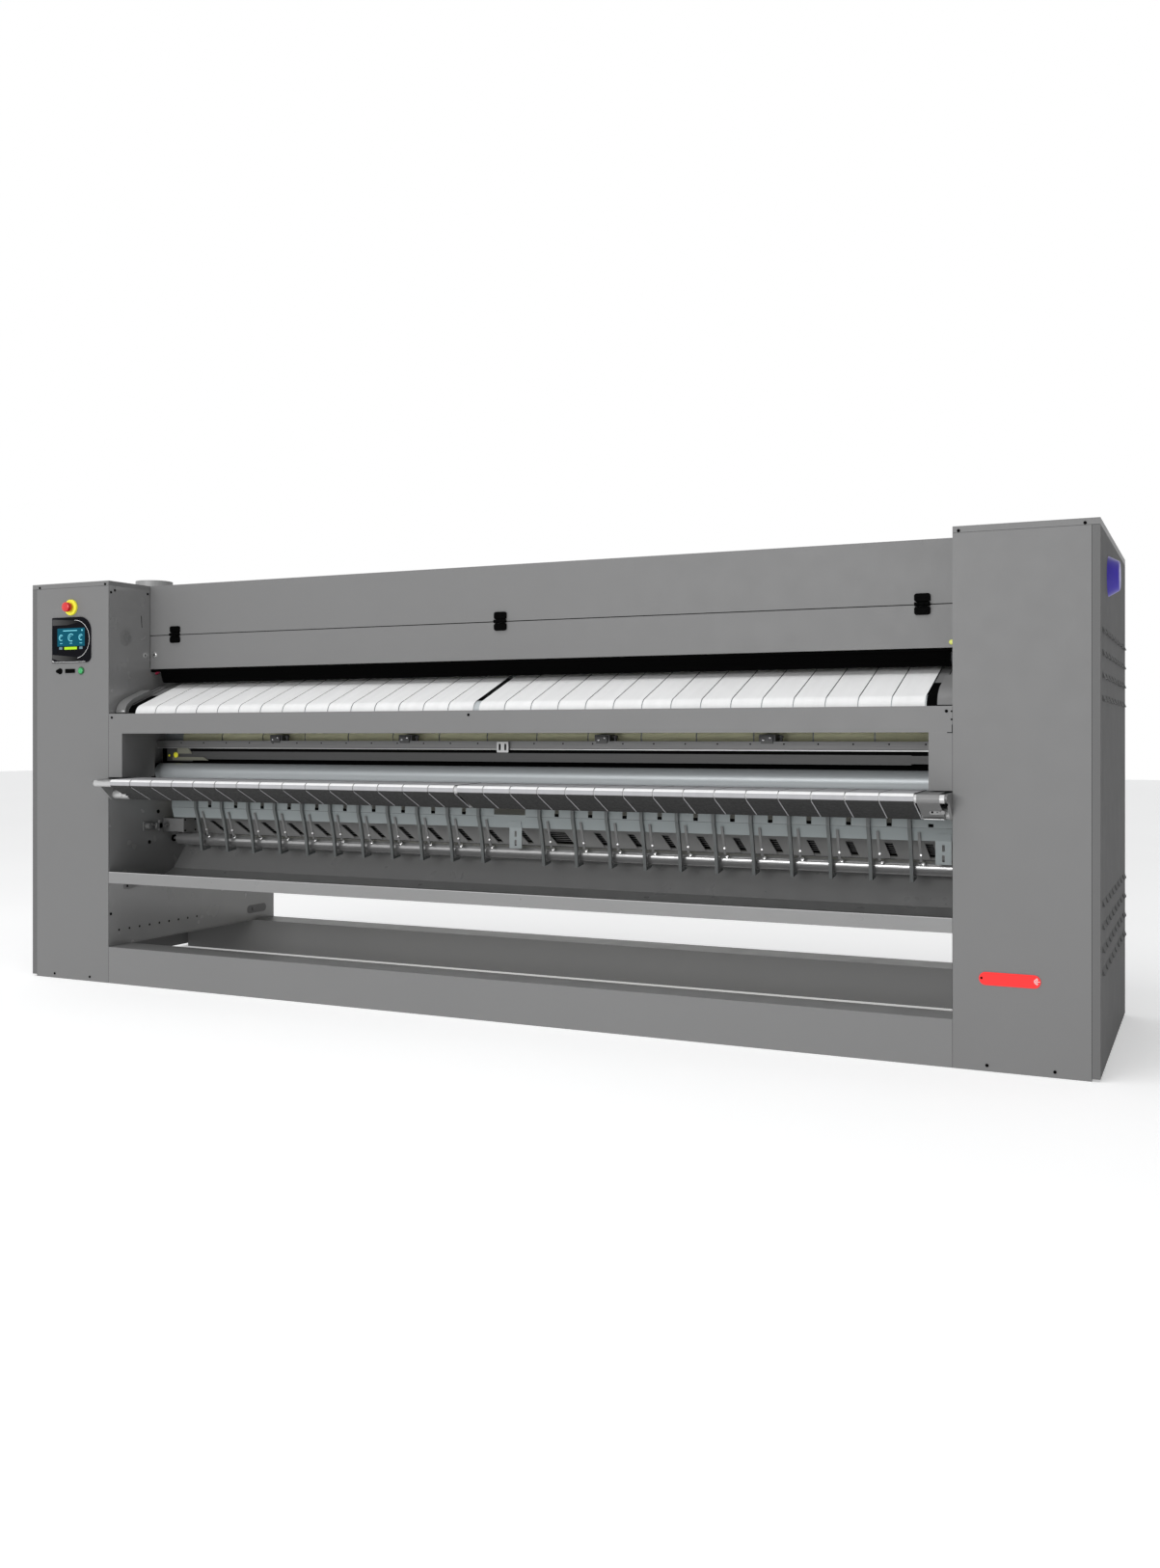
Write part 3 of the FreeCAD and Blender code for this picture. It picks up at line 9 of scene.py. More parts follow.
import bmesh
import bpy
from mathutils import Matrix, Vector


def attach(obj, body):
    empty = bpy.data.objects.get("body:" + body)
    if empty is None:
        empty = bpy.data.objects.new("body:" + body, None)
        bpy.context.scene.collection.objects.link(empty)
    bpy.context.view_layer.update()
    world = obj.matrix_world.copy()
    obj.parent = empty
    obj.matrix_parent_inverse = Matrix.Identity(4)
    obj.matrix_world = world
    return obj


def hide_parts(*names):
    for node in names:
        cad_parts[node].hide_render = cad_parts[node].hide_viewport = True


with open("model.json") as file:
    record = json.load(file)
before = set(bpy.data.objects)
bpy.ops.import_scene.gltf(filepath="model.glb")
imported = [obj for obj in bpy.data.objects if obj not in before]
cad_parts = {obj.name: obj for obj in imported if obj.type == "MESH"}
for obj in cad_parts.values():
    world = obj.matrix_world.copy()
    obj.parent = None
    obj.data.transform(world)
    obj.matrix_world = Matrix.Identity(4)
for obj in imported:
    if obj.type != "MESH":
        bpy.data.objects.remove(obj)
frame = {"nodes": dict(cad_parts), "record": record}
scene = bpy.context.scene
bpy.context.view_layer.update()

FRONT_Y = -492.45           # the cabinets' front plane in the row frame
SIDE = 1695                 # inner walls of the cabinets
OUTER = 2118                # outer sides of the cabinets
LID_Z = 1630
HOOD_Y = 241                # face of the hood and its flap
HINGE_Y = 234
HINGE_Z = 1440              # seam between the hood and its flap
WINDOW_Y = 280              # face of the scraper beam
BED_Y = 412                 # upper edge of the sheet behind the slotted bed
BED_Z = 674
CYLINDER = (640, 1080)      # Y and Z of the heated cylinder's axis
PITCH = 106.2               # from one belt to the next
BAND_PITCH = 212.5
STOP = (-1898, 1547)        # X and Z of the controls
START = (-1844, 1283)
PANEL = (-1896, 1412)
SCREEN = (-1896, 1416)


def at(x, y, z):
    """A place of the machine in metres."""
    return Vector((x / 1000, (y + FRONT_Y) / 1000, z / 1000))


# ---------------------------------------------------------------- finishes

def grey(value):
    return (value, value, value)


class Finish:
    """A procedural material: one Principled shader and the nodes that vary it."""

    def __init__(self, name, roughness=0.5, metallic=0.0):
        self.material = bpy.data.materials.new(name)
        self.material.use_nodes = True
        self.tree = self.material.node_tree
        self.shader = self.tree.nodes["Principled BSDF"]
        self.shader.inputs["Roughness"].default_value = roughness
        self.shader.inputs["Metallic"].default_value = metallic
        self.place = self.node("ShaderNodeTexCoord").outputs["Object"]
        self.bump = None

    def node(self, kind, **settings):
        made = self.tree.nodes.new(kind)
        for key, value in settings.items():
            if key[0].isupper():
                made.inputs[key.replace("_", " ")].default_value = value
            else:
                setattr(made, key, value)
        return made

    def link(self, source, target):
        self.tree.links.new(source, target)

    def noise(self, scale, detail=3.0, stretch=(1, 1, 1), turn=(0, 0, 0)):
        mapping = self.node("ShaderNodeMapping", Scale=stretch, Rotation=turn)
        self.link(self.place, mapping.inputs["Vector"])
        noise = self.node("ShaderNodeTexNoise", Scale=scale, Detail=detail)
        self.link(mapping.outputs["Vector"], noise.inputs["Vector"])
        return noise.outputs["Fac"]

    def ramp(self, source, stops):
        ramp = self.node("ShaderNodeValToRGB")
        elements = ramp.color_ramp.elements
        while len(elements) < len(stops):
            elements.new(0.5)
        for element, (position, colour) in zip(elements, stops):
            element.position = position
            element.color = (*colour, 1)
        self.link(source, ramp.inputs["Fac"])
        return ramp.outputs["Color"]

    def tint(self, colour, spread=0.06, scale=3.0, stretch=(1, 1, 1)):
        """Base colour that drifts a little over the surface."""
        low = tuple(c * (1 - spread) for c in colour)
        high = tuple(min(1.0, c * (1 + spread)) for c in colour)
        source = self.noise(scale, 4.0, stretch)
        self.colour = self.ramp(source, [(0.3, low), (0.7, high)])
        self.link(self.colour, self.shader.inputs["Base Color"])
        return self

    def vary_tone(self, darkest=0.85):
        """Each belt or band has its own slight tone, stored on its mesh."""
        tone = self.node("ShaderNodeAttribute", attribute_name="tone")
        scale = self.node("ShaderNodeMapRange")
        scale.inputs["To Min"].default_value = darkest
        scale.inputs["To Max"].default_value = 1.0
        self.link(tone.outputs["Fac"], scale.inputs["Value"])
        mix = self.node("ShaderNodeMix", data_type="RGBA", blend_type="MULTIPLY")
        mix.inputs["Factor"].default_value = 1.0
        self.link(self.colour, mix.inputs["A"])
        self.link(scale.outputs["Result"], mix.inputs["B"])
        self.colour = mix.outputs["Result"]
        self.link(self.colour, self.shader.inputs["Base Color"])
        return self

    def gloss(self, low, high, scale=40.0, stretch=(1, 1, 1)):
        """Roughness that changes between two values."""
        span = self.node("ShaderNodeMapRange")
        span.inputs["From Min"].default_value = 0.3
        span.inputs["From Max"].default_value = 0.7
        span.inputs["To Min"].default_value = low
        span.inputs["To Max"].default_value = high
        self.link(self.noise(scale, 2.0, stretch), span.inputs["Value"])
        self.link(span.outputs["Result"], self.shader.inputs["Roughness"])
        return self

    def relief(self, source, depth, strength=0.5):
        """Bump in metres, laid over any earlier bump."""
        bump = self.node("ShaderNodeBump", Strength=strength, Distance=depth)
        self.link(source, bump.inputs["Height"])
        if self.bump:
            self.link(self.bump, bump.inputs["Normal"])
        self.bump = bump.outputs["Normal"]
        self.link(self.bump, self.shader.inputs["Normal"])
        return self

    def grain(self, scale=900.0, depth=0.0002, strength=0.4, stretch=(1, 1, 1)):
        return self.relief(self.noise(scale, 2.0, stretch), depth, strength)

    def weave(self, across, along, depth=0.0004, axes=("X", "Y")):
        """Two crossing sets of threads."""
        threads = []
        for axis, scale in zip(axes, (across, along)):
            wave = self.node("ShaderNodeTexWave", bands_direction=axis, Scale=scale,
                             Distortion=0.6, Detail_Scale=2.0)
            self.link(self.place, wave.inputs["Vector"])
            threads.append(wave.outputs["Fac"])
        cross = self.node("ShaderNodeMath", operation="MAXIMUM")
        for thread, socket in zip(threads, cross.inputs):
            self.link(thread, socket)
        return self.relief(cross.outputs["Value"], depth)

    def worn(self, colour, radius=0.0015, amount=0.6):
        """Lighter edges, where the rounded normal leaves the true one."""
        soft = self.node("ShaderNodeBevel", samples=4, Radius=radius)
        true = self.node("ShaderNodeNewGeometry")
        dot = self.node("ShaderNodeVectorMath", operation="DOT_PRODUCT")
        self.link(soft.outputs["Normal"], dot.inputs[0])
        self.link(true.outputs["Normal"], dot.inputs[1])
        edge = self.node("ShaderNodeMapRange")
        edge.inputs["From Min"].default_value = 0.98
        edge.inputs["From Max"].default_value = 0.75
        edge.inputs["To Max"].default_value = amount
        self.link(dot.outputs["Value"], edge.inputs["Value"])
        patch = self.node("ShaderNodeMath", operation="MULTIPLY", use_clamp=True)
        self.link(edge.outputs["Result"], patch.inputs[0])
        self.link(self.noise(25.0, 4.0), patch.inputs[1])
        mix = self.node("ShaderNodeMix", data_type="RGBA")
        mix.inputs["B"].default_value = (*colour, 1)
        self.link(patch.outputs["Value"], mix.inputs["Factor"])
        self.link(self.colour, mix.inputs["A"])
        self.colour = mix.outputs["Result"]
        self.link(self.colour, self.shader.inputs["Base Color"])
        return self

    def with_shine(self, level):
        self.shader.inputs["Specular IOR Level"].default_value = level
        return self

    def with_coat(self, weight, roughness=0.1):
        self.shader.inputs["Coat Weight"].default_value = weight
        self.shader.inputs["Coat Roughness"].default_value = roughness
        return self

    def with_sheen(self, weight, roughness=0.5):
        self.shader.inputs["Sheen Weight"].default_value = weight
        self.shader.inputs["Sheen Roughness"].default_value = roughness
        return self

    def glowing(self, strength):
        self.link(self.colour, self.shader.inputs["Emission Color"])
        self.shader.inputs["Emission Strength"].default_value = strength
        return self


def paint(name, colour, roughness=0.45, shine=0.3):
    """Fine-textured enamel with slightly rubbed edges."""
    light = tuple(min(1.0, c * 1.5) for c in colour)
    finish = Finish(name, roughness).tint(colour, 0.015, 2.2).with_shine(shine)
    finish.gloss(roughness - 0.03, roughness + 0.04, 12.0).grain(900.0, 0.0001, 0.2)
    return finish.worn(light)


def steel(name, colour, roughness=0.3, along=(1, 60, 60), metallic=1.0, spread=0.08):
    """Brushed or turned metal, its lines along X unless stated."""
    finish = Finish(name, roughness, metallic).tint(colour, spread, 6.0, along)
    finish.gloss(roughness - 0.04, roughness + 0.05, 30.0, along)
    return finish.grain(60.0, 0.00002, 0.1, along)


def plastic(name, colour, roughness=0.35, coat=0.3, shine=0.4):
    """Moulded plastic, with a clear coat where it is glossy."""
    finish = Finish(name, roughness).tint(colour, 0.05, 20.0).with_shine(shine)
    finish.gloss(roughness - 0.06, roughness + 0.08, 60.0).grain(1500.0, 0.0001, 0.2)
    return finish.with_coat(coat)


def woven(name, colour, roughness=0.75):
    """Belting: fine cross threads, slightly soiled in long streaks."""
    finish = Finish(name, roughness).tint(colour, 0.03, 4.0, (9, 1, 1)).vary_tone(0.97)
    return finish.gloss(roughness - 0.1, roughness + 0.1, 80.0).weave(320.0, 320.0, 0.0002)


def felt():
    """Needled felt of the ironing bands, yellowed by heat, its fibres lying along the band."""
    finish = Finish("felt_band", 0.9).tint((0.95, 0.93, 0.62), 0.06, 14.0, (1, 4, 4))
    finish.vary_tone(0.82).grain(420.0, 0.0008, 0.6, (1, 0.3, 0.3)).grain(60.0, 0.0012, 0.3)
    return finish.with_sheen(0.4)


FINISHES = {
    "body_paint": paint("body_paint", grey(0.187)),
    "side_paint": paint("side_paint", grey(0.235), 0.24, 0.8),
    "frame_paint": paint("frame_paint", grey(0.2)),
    "black_paint": paint("black_paint", grey(0.0012), 0.6, 0.01),
    "motor_paint": paint("motor_paint", (0.1, 0.14, 0.2)),
    "comb_paint": paint("comb_paint", (0.34, 0.375, 0.38), 0.4),
    "red_paint": paint("red_paint", (1.0, 0.045, 0.045), 0.4, 0.15),
    "sheet_steel": steel("sheet_steel", grey(0.45), 0.42, metallic=0.6),
    "roller_steel": steel("roller_steel", (0.47, 0.5, 0.515), 0.42, metallic=0.3, spread=0.02),
    "polished_steel": steel("polished_steel", grey(0.4), 0.18, metallic=0.6, spread=0.02),
    "profile_aluminium": steel("profile_aluminium", grey(0.2), 0.5, metallic=0.3),
    "bearing_iron": paint("bearing_iron", (0.11, 0.11, 0.12), 0.7),
    "white_belt": woven("white_belt", (0.93, 0.93, 0.93)),
    "felt_band": felt(),
    "black_plastic": plastic("black_plastic", grey(0.0015), 0.5, 0.0, 0.015),
    "screen_glass": plastic("screen_glass", (0.002, 0.002, 0.004), 0.25, 0.0, 0.06),
    "yellow_plastic": plastic("yellow_plastic", (0.93, 0.88, 0.05), 0.35, 0.1),
    "red_plastic": plastic("red_plastic", (0.62, 0.012, 0.015), 0.25, 0.6),
    "green_plastic": plastic("green_plastic", (0.01, 0.36, 0.09), 0.2, 0.8),
    "blue_plastic": plastic("blue_plastic", (0.04, 0.02, 0.42), 0.35, 0.15),
}
BED_GREY = paint("bed_grey", grey(0.29), 0.5)
TRAY_GREY = paint("tray_grey", grey(0.225), 0.3, 0.7)
# Painted shade: the outer side panels get a darker grey than the fronts.
OUTER_PANEL_SHADE = paint("outer_panel_shade", grey(0.16), 0.65, 0.03)
# Painted shadow: the feed table under the belts is near black.
TABLE_SHADE = paint("table_shadow", grey(0.01), 0.6, 0.05)
COLLAR_GREY = steel("collar_sheet", grey(0.36), 0.5, (30, 30, 1), 0.2)
FINGER_GREY = paint("finger_grey", (0.165, 0.175, 0.175), 0.4, 0.3)
GUIDE_GREY = steel("guide_sheet", grey(0.055), 0.5, metallic=0.1)
END_GREY = paint("end_plate_grey", (0.2, 0.2, 0.16), 0.5)
# Painted shade: the belts' downward faces are dark grey.
BELT_UNDERSIDE_SHADE = woven("belt_underside_shade", grey(0.024))
# Grey for the conveyor's flat top and nose front, painted shade beside a white painted highlight band; also
# the colour of the lower guide strips.
BELT_SHADE_AND_GUIDE_GREY = woven("belt_shade_and_guide_grey", (0.42, 0.42, 0.435))
# Painted shade: the belts' side faces in the slits between belts are near black.
BELT_SLIT_SHADE = woven("belt_edge", grey(0.012))
# Painted shade: near-black side faces of the felt bands and of the strips in the gaps between them.
FELT_GAP_SHADE = woven("felt_gap_shade", grey(0.01))
CAP_STEEL = steel("cap_sheet", grey(0.2), 0.45, metallic=0.2)
BRIGHT = steel("bright_zinc", grey(0.72), 0.25, (1, 1, 1))
DARK_STEEL = steel("dark_steel", grey(0.08), 0.4, (60, 60, 1), 0.4)
LIGHT_LINE = plastic("white_print", grey(0.8), 0.4, 0.0)
MARK_GREY = paint("plug_grey", grey(0.19), 0.3, 0.6)
SILVER = steel("silver_sheet", grey(0.5), 0.35, metallic=0.5)


def screen_ink(name, colour, strength=0.6):
    """A colour lit from behind the screen."""
    return Finish(name, 0.5).tint(colour, 0.04, 60.0).with_shine(0.03).glowing(strength)


INK_TEAL = screen_ink("screen_teal", (0.003, 0.055, 0.085), 0.6)
INK_CYAN = screen_ink("screen_cyan", (0.16, 0.5, 0.58))
INK_BLACK = screen_ink("screen_black", (0.004, 0.005, 0.007), 0.1)
INK_GREEN = screen_ink("screen_green", (0.3, 0.5, 0.02))
INK_GREY = screen_ink("screen_grey", (0.1, 0.16, 0.18))

OWN_FINISH = {
    "strip_bed": BED_GREY, "catch_tray": TRAY_GREY, "feed_table": TABLE_SHADE,
    "exhaust_collar": COLLAR_GREY, "folding_fingers": FINGER_GREY,
    "window_covers": FINISHES["body_paint"], "guide_profile": GUIDE_GREY,
    "conveyor_nose_bar": SILVER, "conveyor_lower_roller": SILVER,
    "comb_actuator": FINISHES["body_paint"],
    "left_outer_panel": OUTER_PANEL_SHADE, "right_outer_panel": OUTER_PANEL_SHADE,
}
for part in frame["record"]["subparts"]:
    node = frame["nodes"][part["node"]]
    node.data.materials.clear()
    finish = OWN_FINISH.get(part["node"], FINISHES[part["material_slot"]])
    node.data.materials.append(finish.material)


# ---------------------------------------------------------------- mesh building

def piece(name, body, finish, draw, bevel=0.0, sharp=35):
    """Draw one mesh, finish it, and let it ride on a body."""
    mesh = bmesh.new()
    draw(mesh)
    bmesh.ops.recalc_face_normals(mesh, faces=mesh.faces)
    data = bpy.data.meshes.new(name)
    mesh.to_mesh(data)
    mesh.free()
    data.shade_smooth()
    data.set_sharp_from_angle(angle=math.radians(sharp))
    made = bpy.data.objects.new(name, data)
    scene.collection.objects.link(made)
    data.materials.append(finish.material)
    if bevel:
        edge = made.modifiers.new("rounded", "BEVEL")
        edge.width = bevel / 1000
        edge.segments = 2
        edge.limit_method = "ANGLE"
    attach(made, body)
    return made


def stretch(mesh, rings, closed=True, caps=False):
    """Skin between equal rings of corners."""
    made = [[mesh.verts.new(corner) for corner in ring] for ring in rings]
    pairs = list(zip(made, made[1:] + made[:1])) if closed else list(zip(made, made[1:]))
    for near, far in pairs:
        for i, corner in enumerate(near):
            j = (i + 1) % len(near)
            mesh.faces.new((corner, near[j], far[j], far[i]))
    if caps:
        mesh.faces.new(made[0])
        mesh.faces.new(made[-1])
    return made


def block(mesh, low, high):
    """A box between two corners."""
    (x0, y0, z0), (x1, y1, z1) = low, high
    rings = []
    for x in (x0, x1):
        rings.append([at(x, y0, z0), at(x, y1, z0), at(x, y1, z1), at(x, y0, z1)])
    stretch(mesh, rings, closed=False, caps=True)


def turned(mesh, centre, axis, profile, sides=48):
    """A turned shape from (distance along the axis, radius) pairs in millimetres."""
    axis = Vector(axis).normalized()
    across = axis.orthogonal().normalized()
    up = axis.cross(across)
    rings = []
    for along, radius in profile:
        ring = []
        for k in range(sides):
            a = 2 * math.pi * k / sides
            spoke = across * math.cos(a) + up * math.sin(a)
            ring.append(at(*centre) + (axis * along + spoke * max(radius, 0.01)) / 1000)
        rings.append(ring)
    stretch(mesh, rings, closed=False, caps=True)


def slab(mesh, outline, front, back):
    """A flat piece facing the operator, from its outline in X and Z."""
    rings = [[at(x, y, z) for x, z in outline] for y in (front, back)]
    stretch(mesh, rings, closed=False, caps=True)


def bar(mesh, outline, low, high):
    """A bar along X from its outline in Y and Z."""
    rings = [[at(x, y, z) for y, z in outline] for x in (low, high)]
    stretch(mesh, rings, closed=False, caps=True)


def rod(mesh, start, end, radius, sides=12):
    """A round rod between two places."""
    span = at(*end) - at(*start)
    turned(mesh, start, span, [(0, radius), (span.length * 1000, radius)], sides)


def arc(y, z, radius, first, last, steps):
    """Points on a circle, angles in degrees."""
    angles = [math.radians(first + (last - first) * k / steps) for k in range(steps + 1)]
    return [(y + radius * math.cos(a), z + radius * math.sin(a)) for a in angles]


def taut(pulleys, outward, step=7.0):
    """The taut line round pulleys given as (Y, Z, radius)."""
    normals = []
    for (y, z, r), (next_y, next_z, next_r) in zip(pulleys, pulleys[1:] + pulleys[:1]):
        span = math.hypot(next_y - y, next_z - z)
        lean = math.asin((r - next_r) / span)
        normals.append(math.degrees(math.atan2(next_z - z, next_y - y) + lean) - 90)
    line = []
    for i, (y, z, r) in enumerate(pulleys):
        sweep = (normals[i] - normals[i - 1]) % 360
        count = max(2, math.ceil(sweep / step))
        line += arc(y, z, r + outward, normals[i - 1], normals[i - 1] + sweep, count)
    return line


def loops(mesh, outer, inner, starts, width, tones=None):
    """Endless belts of a given width round one path, each with its own tone."""
    layer = mesh.verts.layers.float.new("tone")
    for k, x in enumerate(starts):
        rings = []
        for (oy, oz), (iy, iz) in zip(outer, inner):
            rings.append([at(x, oy, oz), at(x + width, oy, oz), at(x + width, iy, iz), at(x, iy, iz)])
        tone = (math.sin(k * 12.9898) * 43758.5453) % 1.0 if tones is None else tones
        for ring in stretch(mesh, rings):
            for corner in ring:
                corner[layer] = tone


def both_halves(gap, count=15, pitch=PITCH, slit=3.0):
    """Left edges of belts on both sides of the middle."""
    right = [gap / 2 + k * pitch for k in range(count)]
    return right + [-x - (pitch - slit) for x in right]


# ---------------------------------------------------------------- feed belts and conveyor

# Each roller of a belt as (Y, Z, radius).
FEED = [(95, 1102, 38.5), (370, 1212, 35)]
RETURN = [(-79, 822, 14.2), (30, 773, 18.2), (101, 826, 14.2)]
FEED_GAP = 24
RETURN_GAP = 13
BELT_WIDTH = PITCH - 3.6

for name, pulleys, gap in (("feed", FEED, FEED_GAP), ("conveyor", RETURN, RETURN_GAP)):
    belts = piece(
        name + "_belt_loops", "frame", FINISHES["white_belt"],
        lambda mesh: loops(mesh, taut(pulleys, 1.9), taut(pulleys, 0.4), both_halves(gap), BELT_WIDTH),
    )
    # Painted light by facet: dark undersides and near-black sides in the slits are painted shade; on the
    # conveyor only faces with 0.4 < normal Z < 0.96 stay white as a painted highlight band, and the rest
    # take the grey.
    for finish in (BELT_SHADE_AND_GUIDE_GREY, BELT_UNDERSIDE_SHADE, BELT_SLIT_SHADE):
        belts.data.materials.append(finish.material)
    for face in belts.data.polygons:
        if abs(face.normal.x) > 0.9:
            face.material_index = 3
        elif face.normal.z < -0.5:
            face.material_index = 2
        elif name == "conveyor" and not 0.4 < face.normal.z < 0.96:
            face.material_index = 1
    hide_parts(name + "_belts")


def lower_guides(mesh):
    """Pale guide strips that keep the belts of the lower run apart."""
    outer, inner = taut(RETURN, 2.6), taut(RETURN, 1.0)
    longest = 40
    run = [k for k in range(len(outer) - 1) if math.dist(outer[k], outer[k + 1]) > longest][0]
    outline = [outer[run], outer[run + 1], inner[run + 1], inner[run]]
    for x in both_halves(RETURN_GAP):
        bar(mesh, outline, x + PITCH - 3.2, x + PITCH - 0.6)


piece("return_guides", "frame", BELT_SHADE_AND_GUIDE_GREY, lower_guides)

FEED_SLOPE = 0.3863
FEED_START = (80.6, 1139.2)     # Y and Z where the upper run leaves the nose
CAP_LOWS = (1642, -1692)        # left edges of the two end blocks
CAP_WIDTH = 50
STRIP_LOWS = (1606, -1640)      # left edges of the two toothed strips
STRIP_WIDTH = 34


def feed_top(y, lift=0.0):
    """Height of the feed belts' upper run."""
    return FEED_START[1] + FEED_SLOPE * (y - FEED_START[0]) + lift


def feed_ends(mesh):
    """End covers of the feed table: a low sheet, and a thicker rounded block over the nose."""
    loops(mesh, taut(FEED, 2.4), taut(FEED, 0.4), [1641, -SIDE], 54, 0.5)
    outline = [(38, 1107), (38.5, 1120), (42, 1131), (50, 1143), (62, 1154), (75, 1163), (87, 1169),
               (184, 1206), (188, 1204), (188, feed_top(188, 3)), (80, 1144), (60, 1125), (53, 1107)]
    for low in CAP_LOWS:
        bar(mesh, outline, low, low + CAP_WIDTH)


covers = piece("feed_end_caps", "frame", FINISHES["body_paint"], feed_ends, bevel=2.0)
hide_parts("feed_end_covers")
# Painted highlight: a bright strip along the lower front of the left end block.
piece("feed_cap_highlight", "frame", BRIGHT, lambda mesh: bar(
    mesh, [(37.4, 1112), (38.1, 1112), (38.4, 1117), (37.7, 1117)], -1689, -1645))
# Painted shadow: black slabs under the end blocks.
piece("feed_cap_gap_shadows", "frame", FINISHES["black_plastic"], lambda mesh: [
    block(mesh, (low, 35, 1103.7), (low + CAP_WIDTH, 60, 1107)) for low in CAP_LOWS])


def slotted_tabs(mesh):
    """Raised sheet tabs behind the end blocks."""
    for low in (1646, -1686):
        bar(mesh, [(200, feed_top(200, 2)), (290, feed_top(290, 2)), (290, feed_top(290, 5)),
                   (200, feed_top(200, 5))], low, low + 40)


piece("feed_end_tabs", "frame", FINISHES["body_paint"], slotted_tabs, bevel=1.0)
piece("feed_tab_slots", "frame", FINISHES["black_plastic"], lambda mesh: [
    bar(mesh, [(215, feed_top(215, 5.1)), (275, feed_top(275, 5.1)), (275, feed_top(275, 5.5)),
               (215, feed_top(215, 5.5))], low, low + 6) for low in (1662, -1668)])
piece("return_end_caps", "frame", CAP_STEEL, lambda mesh: loops(
    mesh, taut(RETURN, 1.6), taut(RETURN, 0.3), [1604], 68, 0.5), bevel=0.5)


def return_tips(mesh):
    """Nose tip at the left end, with its small bracket, and the lower lip at the right end."""
    bar(mesh, [(-93, 832.5), (-88, 834.5), (-50, 836), (-50, 834.8), (-88, 832.2)], -1668, -1602)
    block(mesh, (-1608, -30, 766), (-1599, -25, 783))
    block(mesh, (-1599, -31, 771), (-1574, -27, 777))
    block(mesh, (-1574, -32, 767), (-1562, -28, 771))
    block(mesh, (1608, 2, 754.5), (1670, 12, 757))


def return_links(mesh):
    """Adjusting link under the right end of the return conveyor, with a hex knob."""
    x, z = 1655, 779
    slab(mesh, arc(x + 16, z, 7, -90, 90, 8) + arc(x - 16, z, 7, 90, 270, 8), -34, -29)
    turned(mesh, (x + 18, -34, z), (0, -1, 0), [(0, 8.5), (5, 8.5), (7, 7)], 6)
    block(mesh, (1612, -8, 776), (1646, 0, 786))


piece("return_tips", "frame", SILVER, return_tips, bevel=0.4)
piece("return_links", "frame", CAP_STEEL, return_links, bevel=0.6)
piece("return_link_holes", "frame", FINISHES["black_plastic"], lambda mesh: (
    turned(mesh, (1641, -34, 779), (0, -1, 0), [(0, 3.4), (0.4, 3.4)], 16),
    turned(mesh, (1656, -34, 779), (0, -1, 0), [(0, 2), (0.4, 2)], 12),
    block(mesh, (1674, -50, 800), (1690, -46, 832)),
    block(mesh, (1606, -2, 787.5), (1645, 3, 789.5))))


def along_path(path, spacing):
    """Evenly spaced (Y, Z, direction) along an open path."""
    places = []
    for (y, z), (next_y, next_z) in zip(path, path[1:]):
        span = math.hypot(next_y - y, next_z - z)
        count = max(1, int(span // spacing))
        for k in range(count):
            t = (k + 0.5) / count
            places.append((y + (next_y - y) * t, z + (next_z - z) * t,
                           math.atan2(next_z - z, next_y - y)))
    return places


def toothed_strips(mesh):
    """Black edge strips with small cross teeth, at both ends of the feed belts."""
    axis_y, axis_z, _ = FEED[0]
    thickness = 0.03
    nose = arc(axis_y, axis_z, 40.3, 111.1, 250, 24)
    outer = [(190, feed_top(190, 0.4))] + nose
    inner = [(190, feed_top(190, -0.6))]
    inner += [(y + (axis_y - y) * thickness, z + (axis_z - z) * thickness) for y, z in nose]
    for low in STRIP_LOWS:
        high = low + STRIP_WIDTH
        rings = [[at(low, *far), at(high, *far), at(high, *near), at(low, *near)]
                 for far, near in zip(outer, inner)]
        stretch(mesh, rings, closed=False, caps=True)
    path = outer[1:]
    for y, z, direction in along_path(path, 6.0):
        c, s = math.cos(direction), math.sin(direction)
        corners = [(-1.5, -0.3), (1.5, -0.3), (1.2, 1.1), (-1.2, 1.1)]
        outline = [(y + u * c + w * s, z + u * s - w * c) for u, w in corners]
        for low in STRIP_LOWS:
            bar(mesh, outline, low, low + STRIP_WIDTH)


strips = piece("feed_tooth_strips", "frame", FINISHES["black_plastic"], toothed_strips)
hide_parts("feed_edge_strips")
piece("feed_edge_sheet", "frame", FINISHES["body_paint"], lambda mesh: [
    bar(mesh, [(190, feed_top(190, -0.9)), (356, feed_top(356, -0.9)), (356, feed_top(356, 0.5)),
               (190, feed_top(190, 0.5))], low, low + 32) for low in (1606, -1638)])


# ---------------------------------------------------------------- ironing bands

# Each roller inside the bands as (distance from the cylinder's axis, angle), then the bands' normals there.
BAND_TURNS = [(288, 138), (330, 60), (330, -15), (330, -90), (288, -165.2)]
BAND_NORMALS = [318, 104, 22.5, -52.5, -132.6, -345.2]


def band_line(outside):
    """One face of a felt band: along the cylinder, then back round the rollers."""
    line = arc(*CYLINDER, 250.8 if outside else 253.8, -165.2, 138, 60)
    turn = 33.4 if outside else 30.4
    for (orbit, place), first, last in zip(BAND_TURNS, BAND_NORMALS, BAND_NORMALS[1:]):
        y = CYLINDER[0] + orbit * math.cos(math.radians(place))
        z = CYLINDER[1] + orbit * math.sin(math.radians(place))
        line += arc(y, z, turn, first, last, 8)
    return line


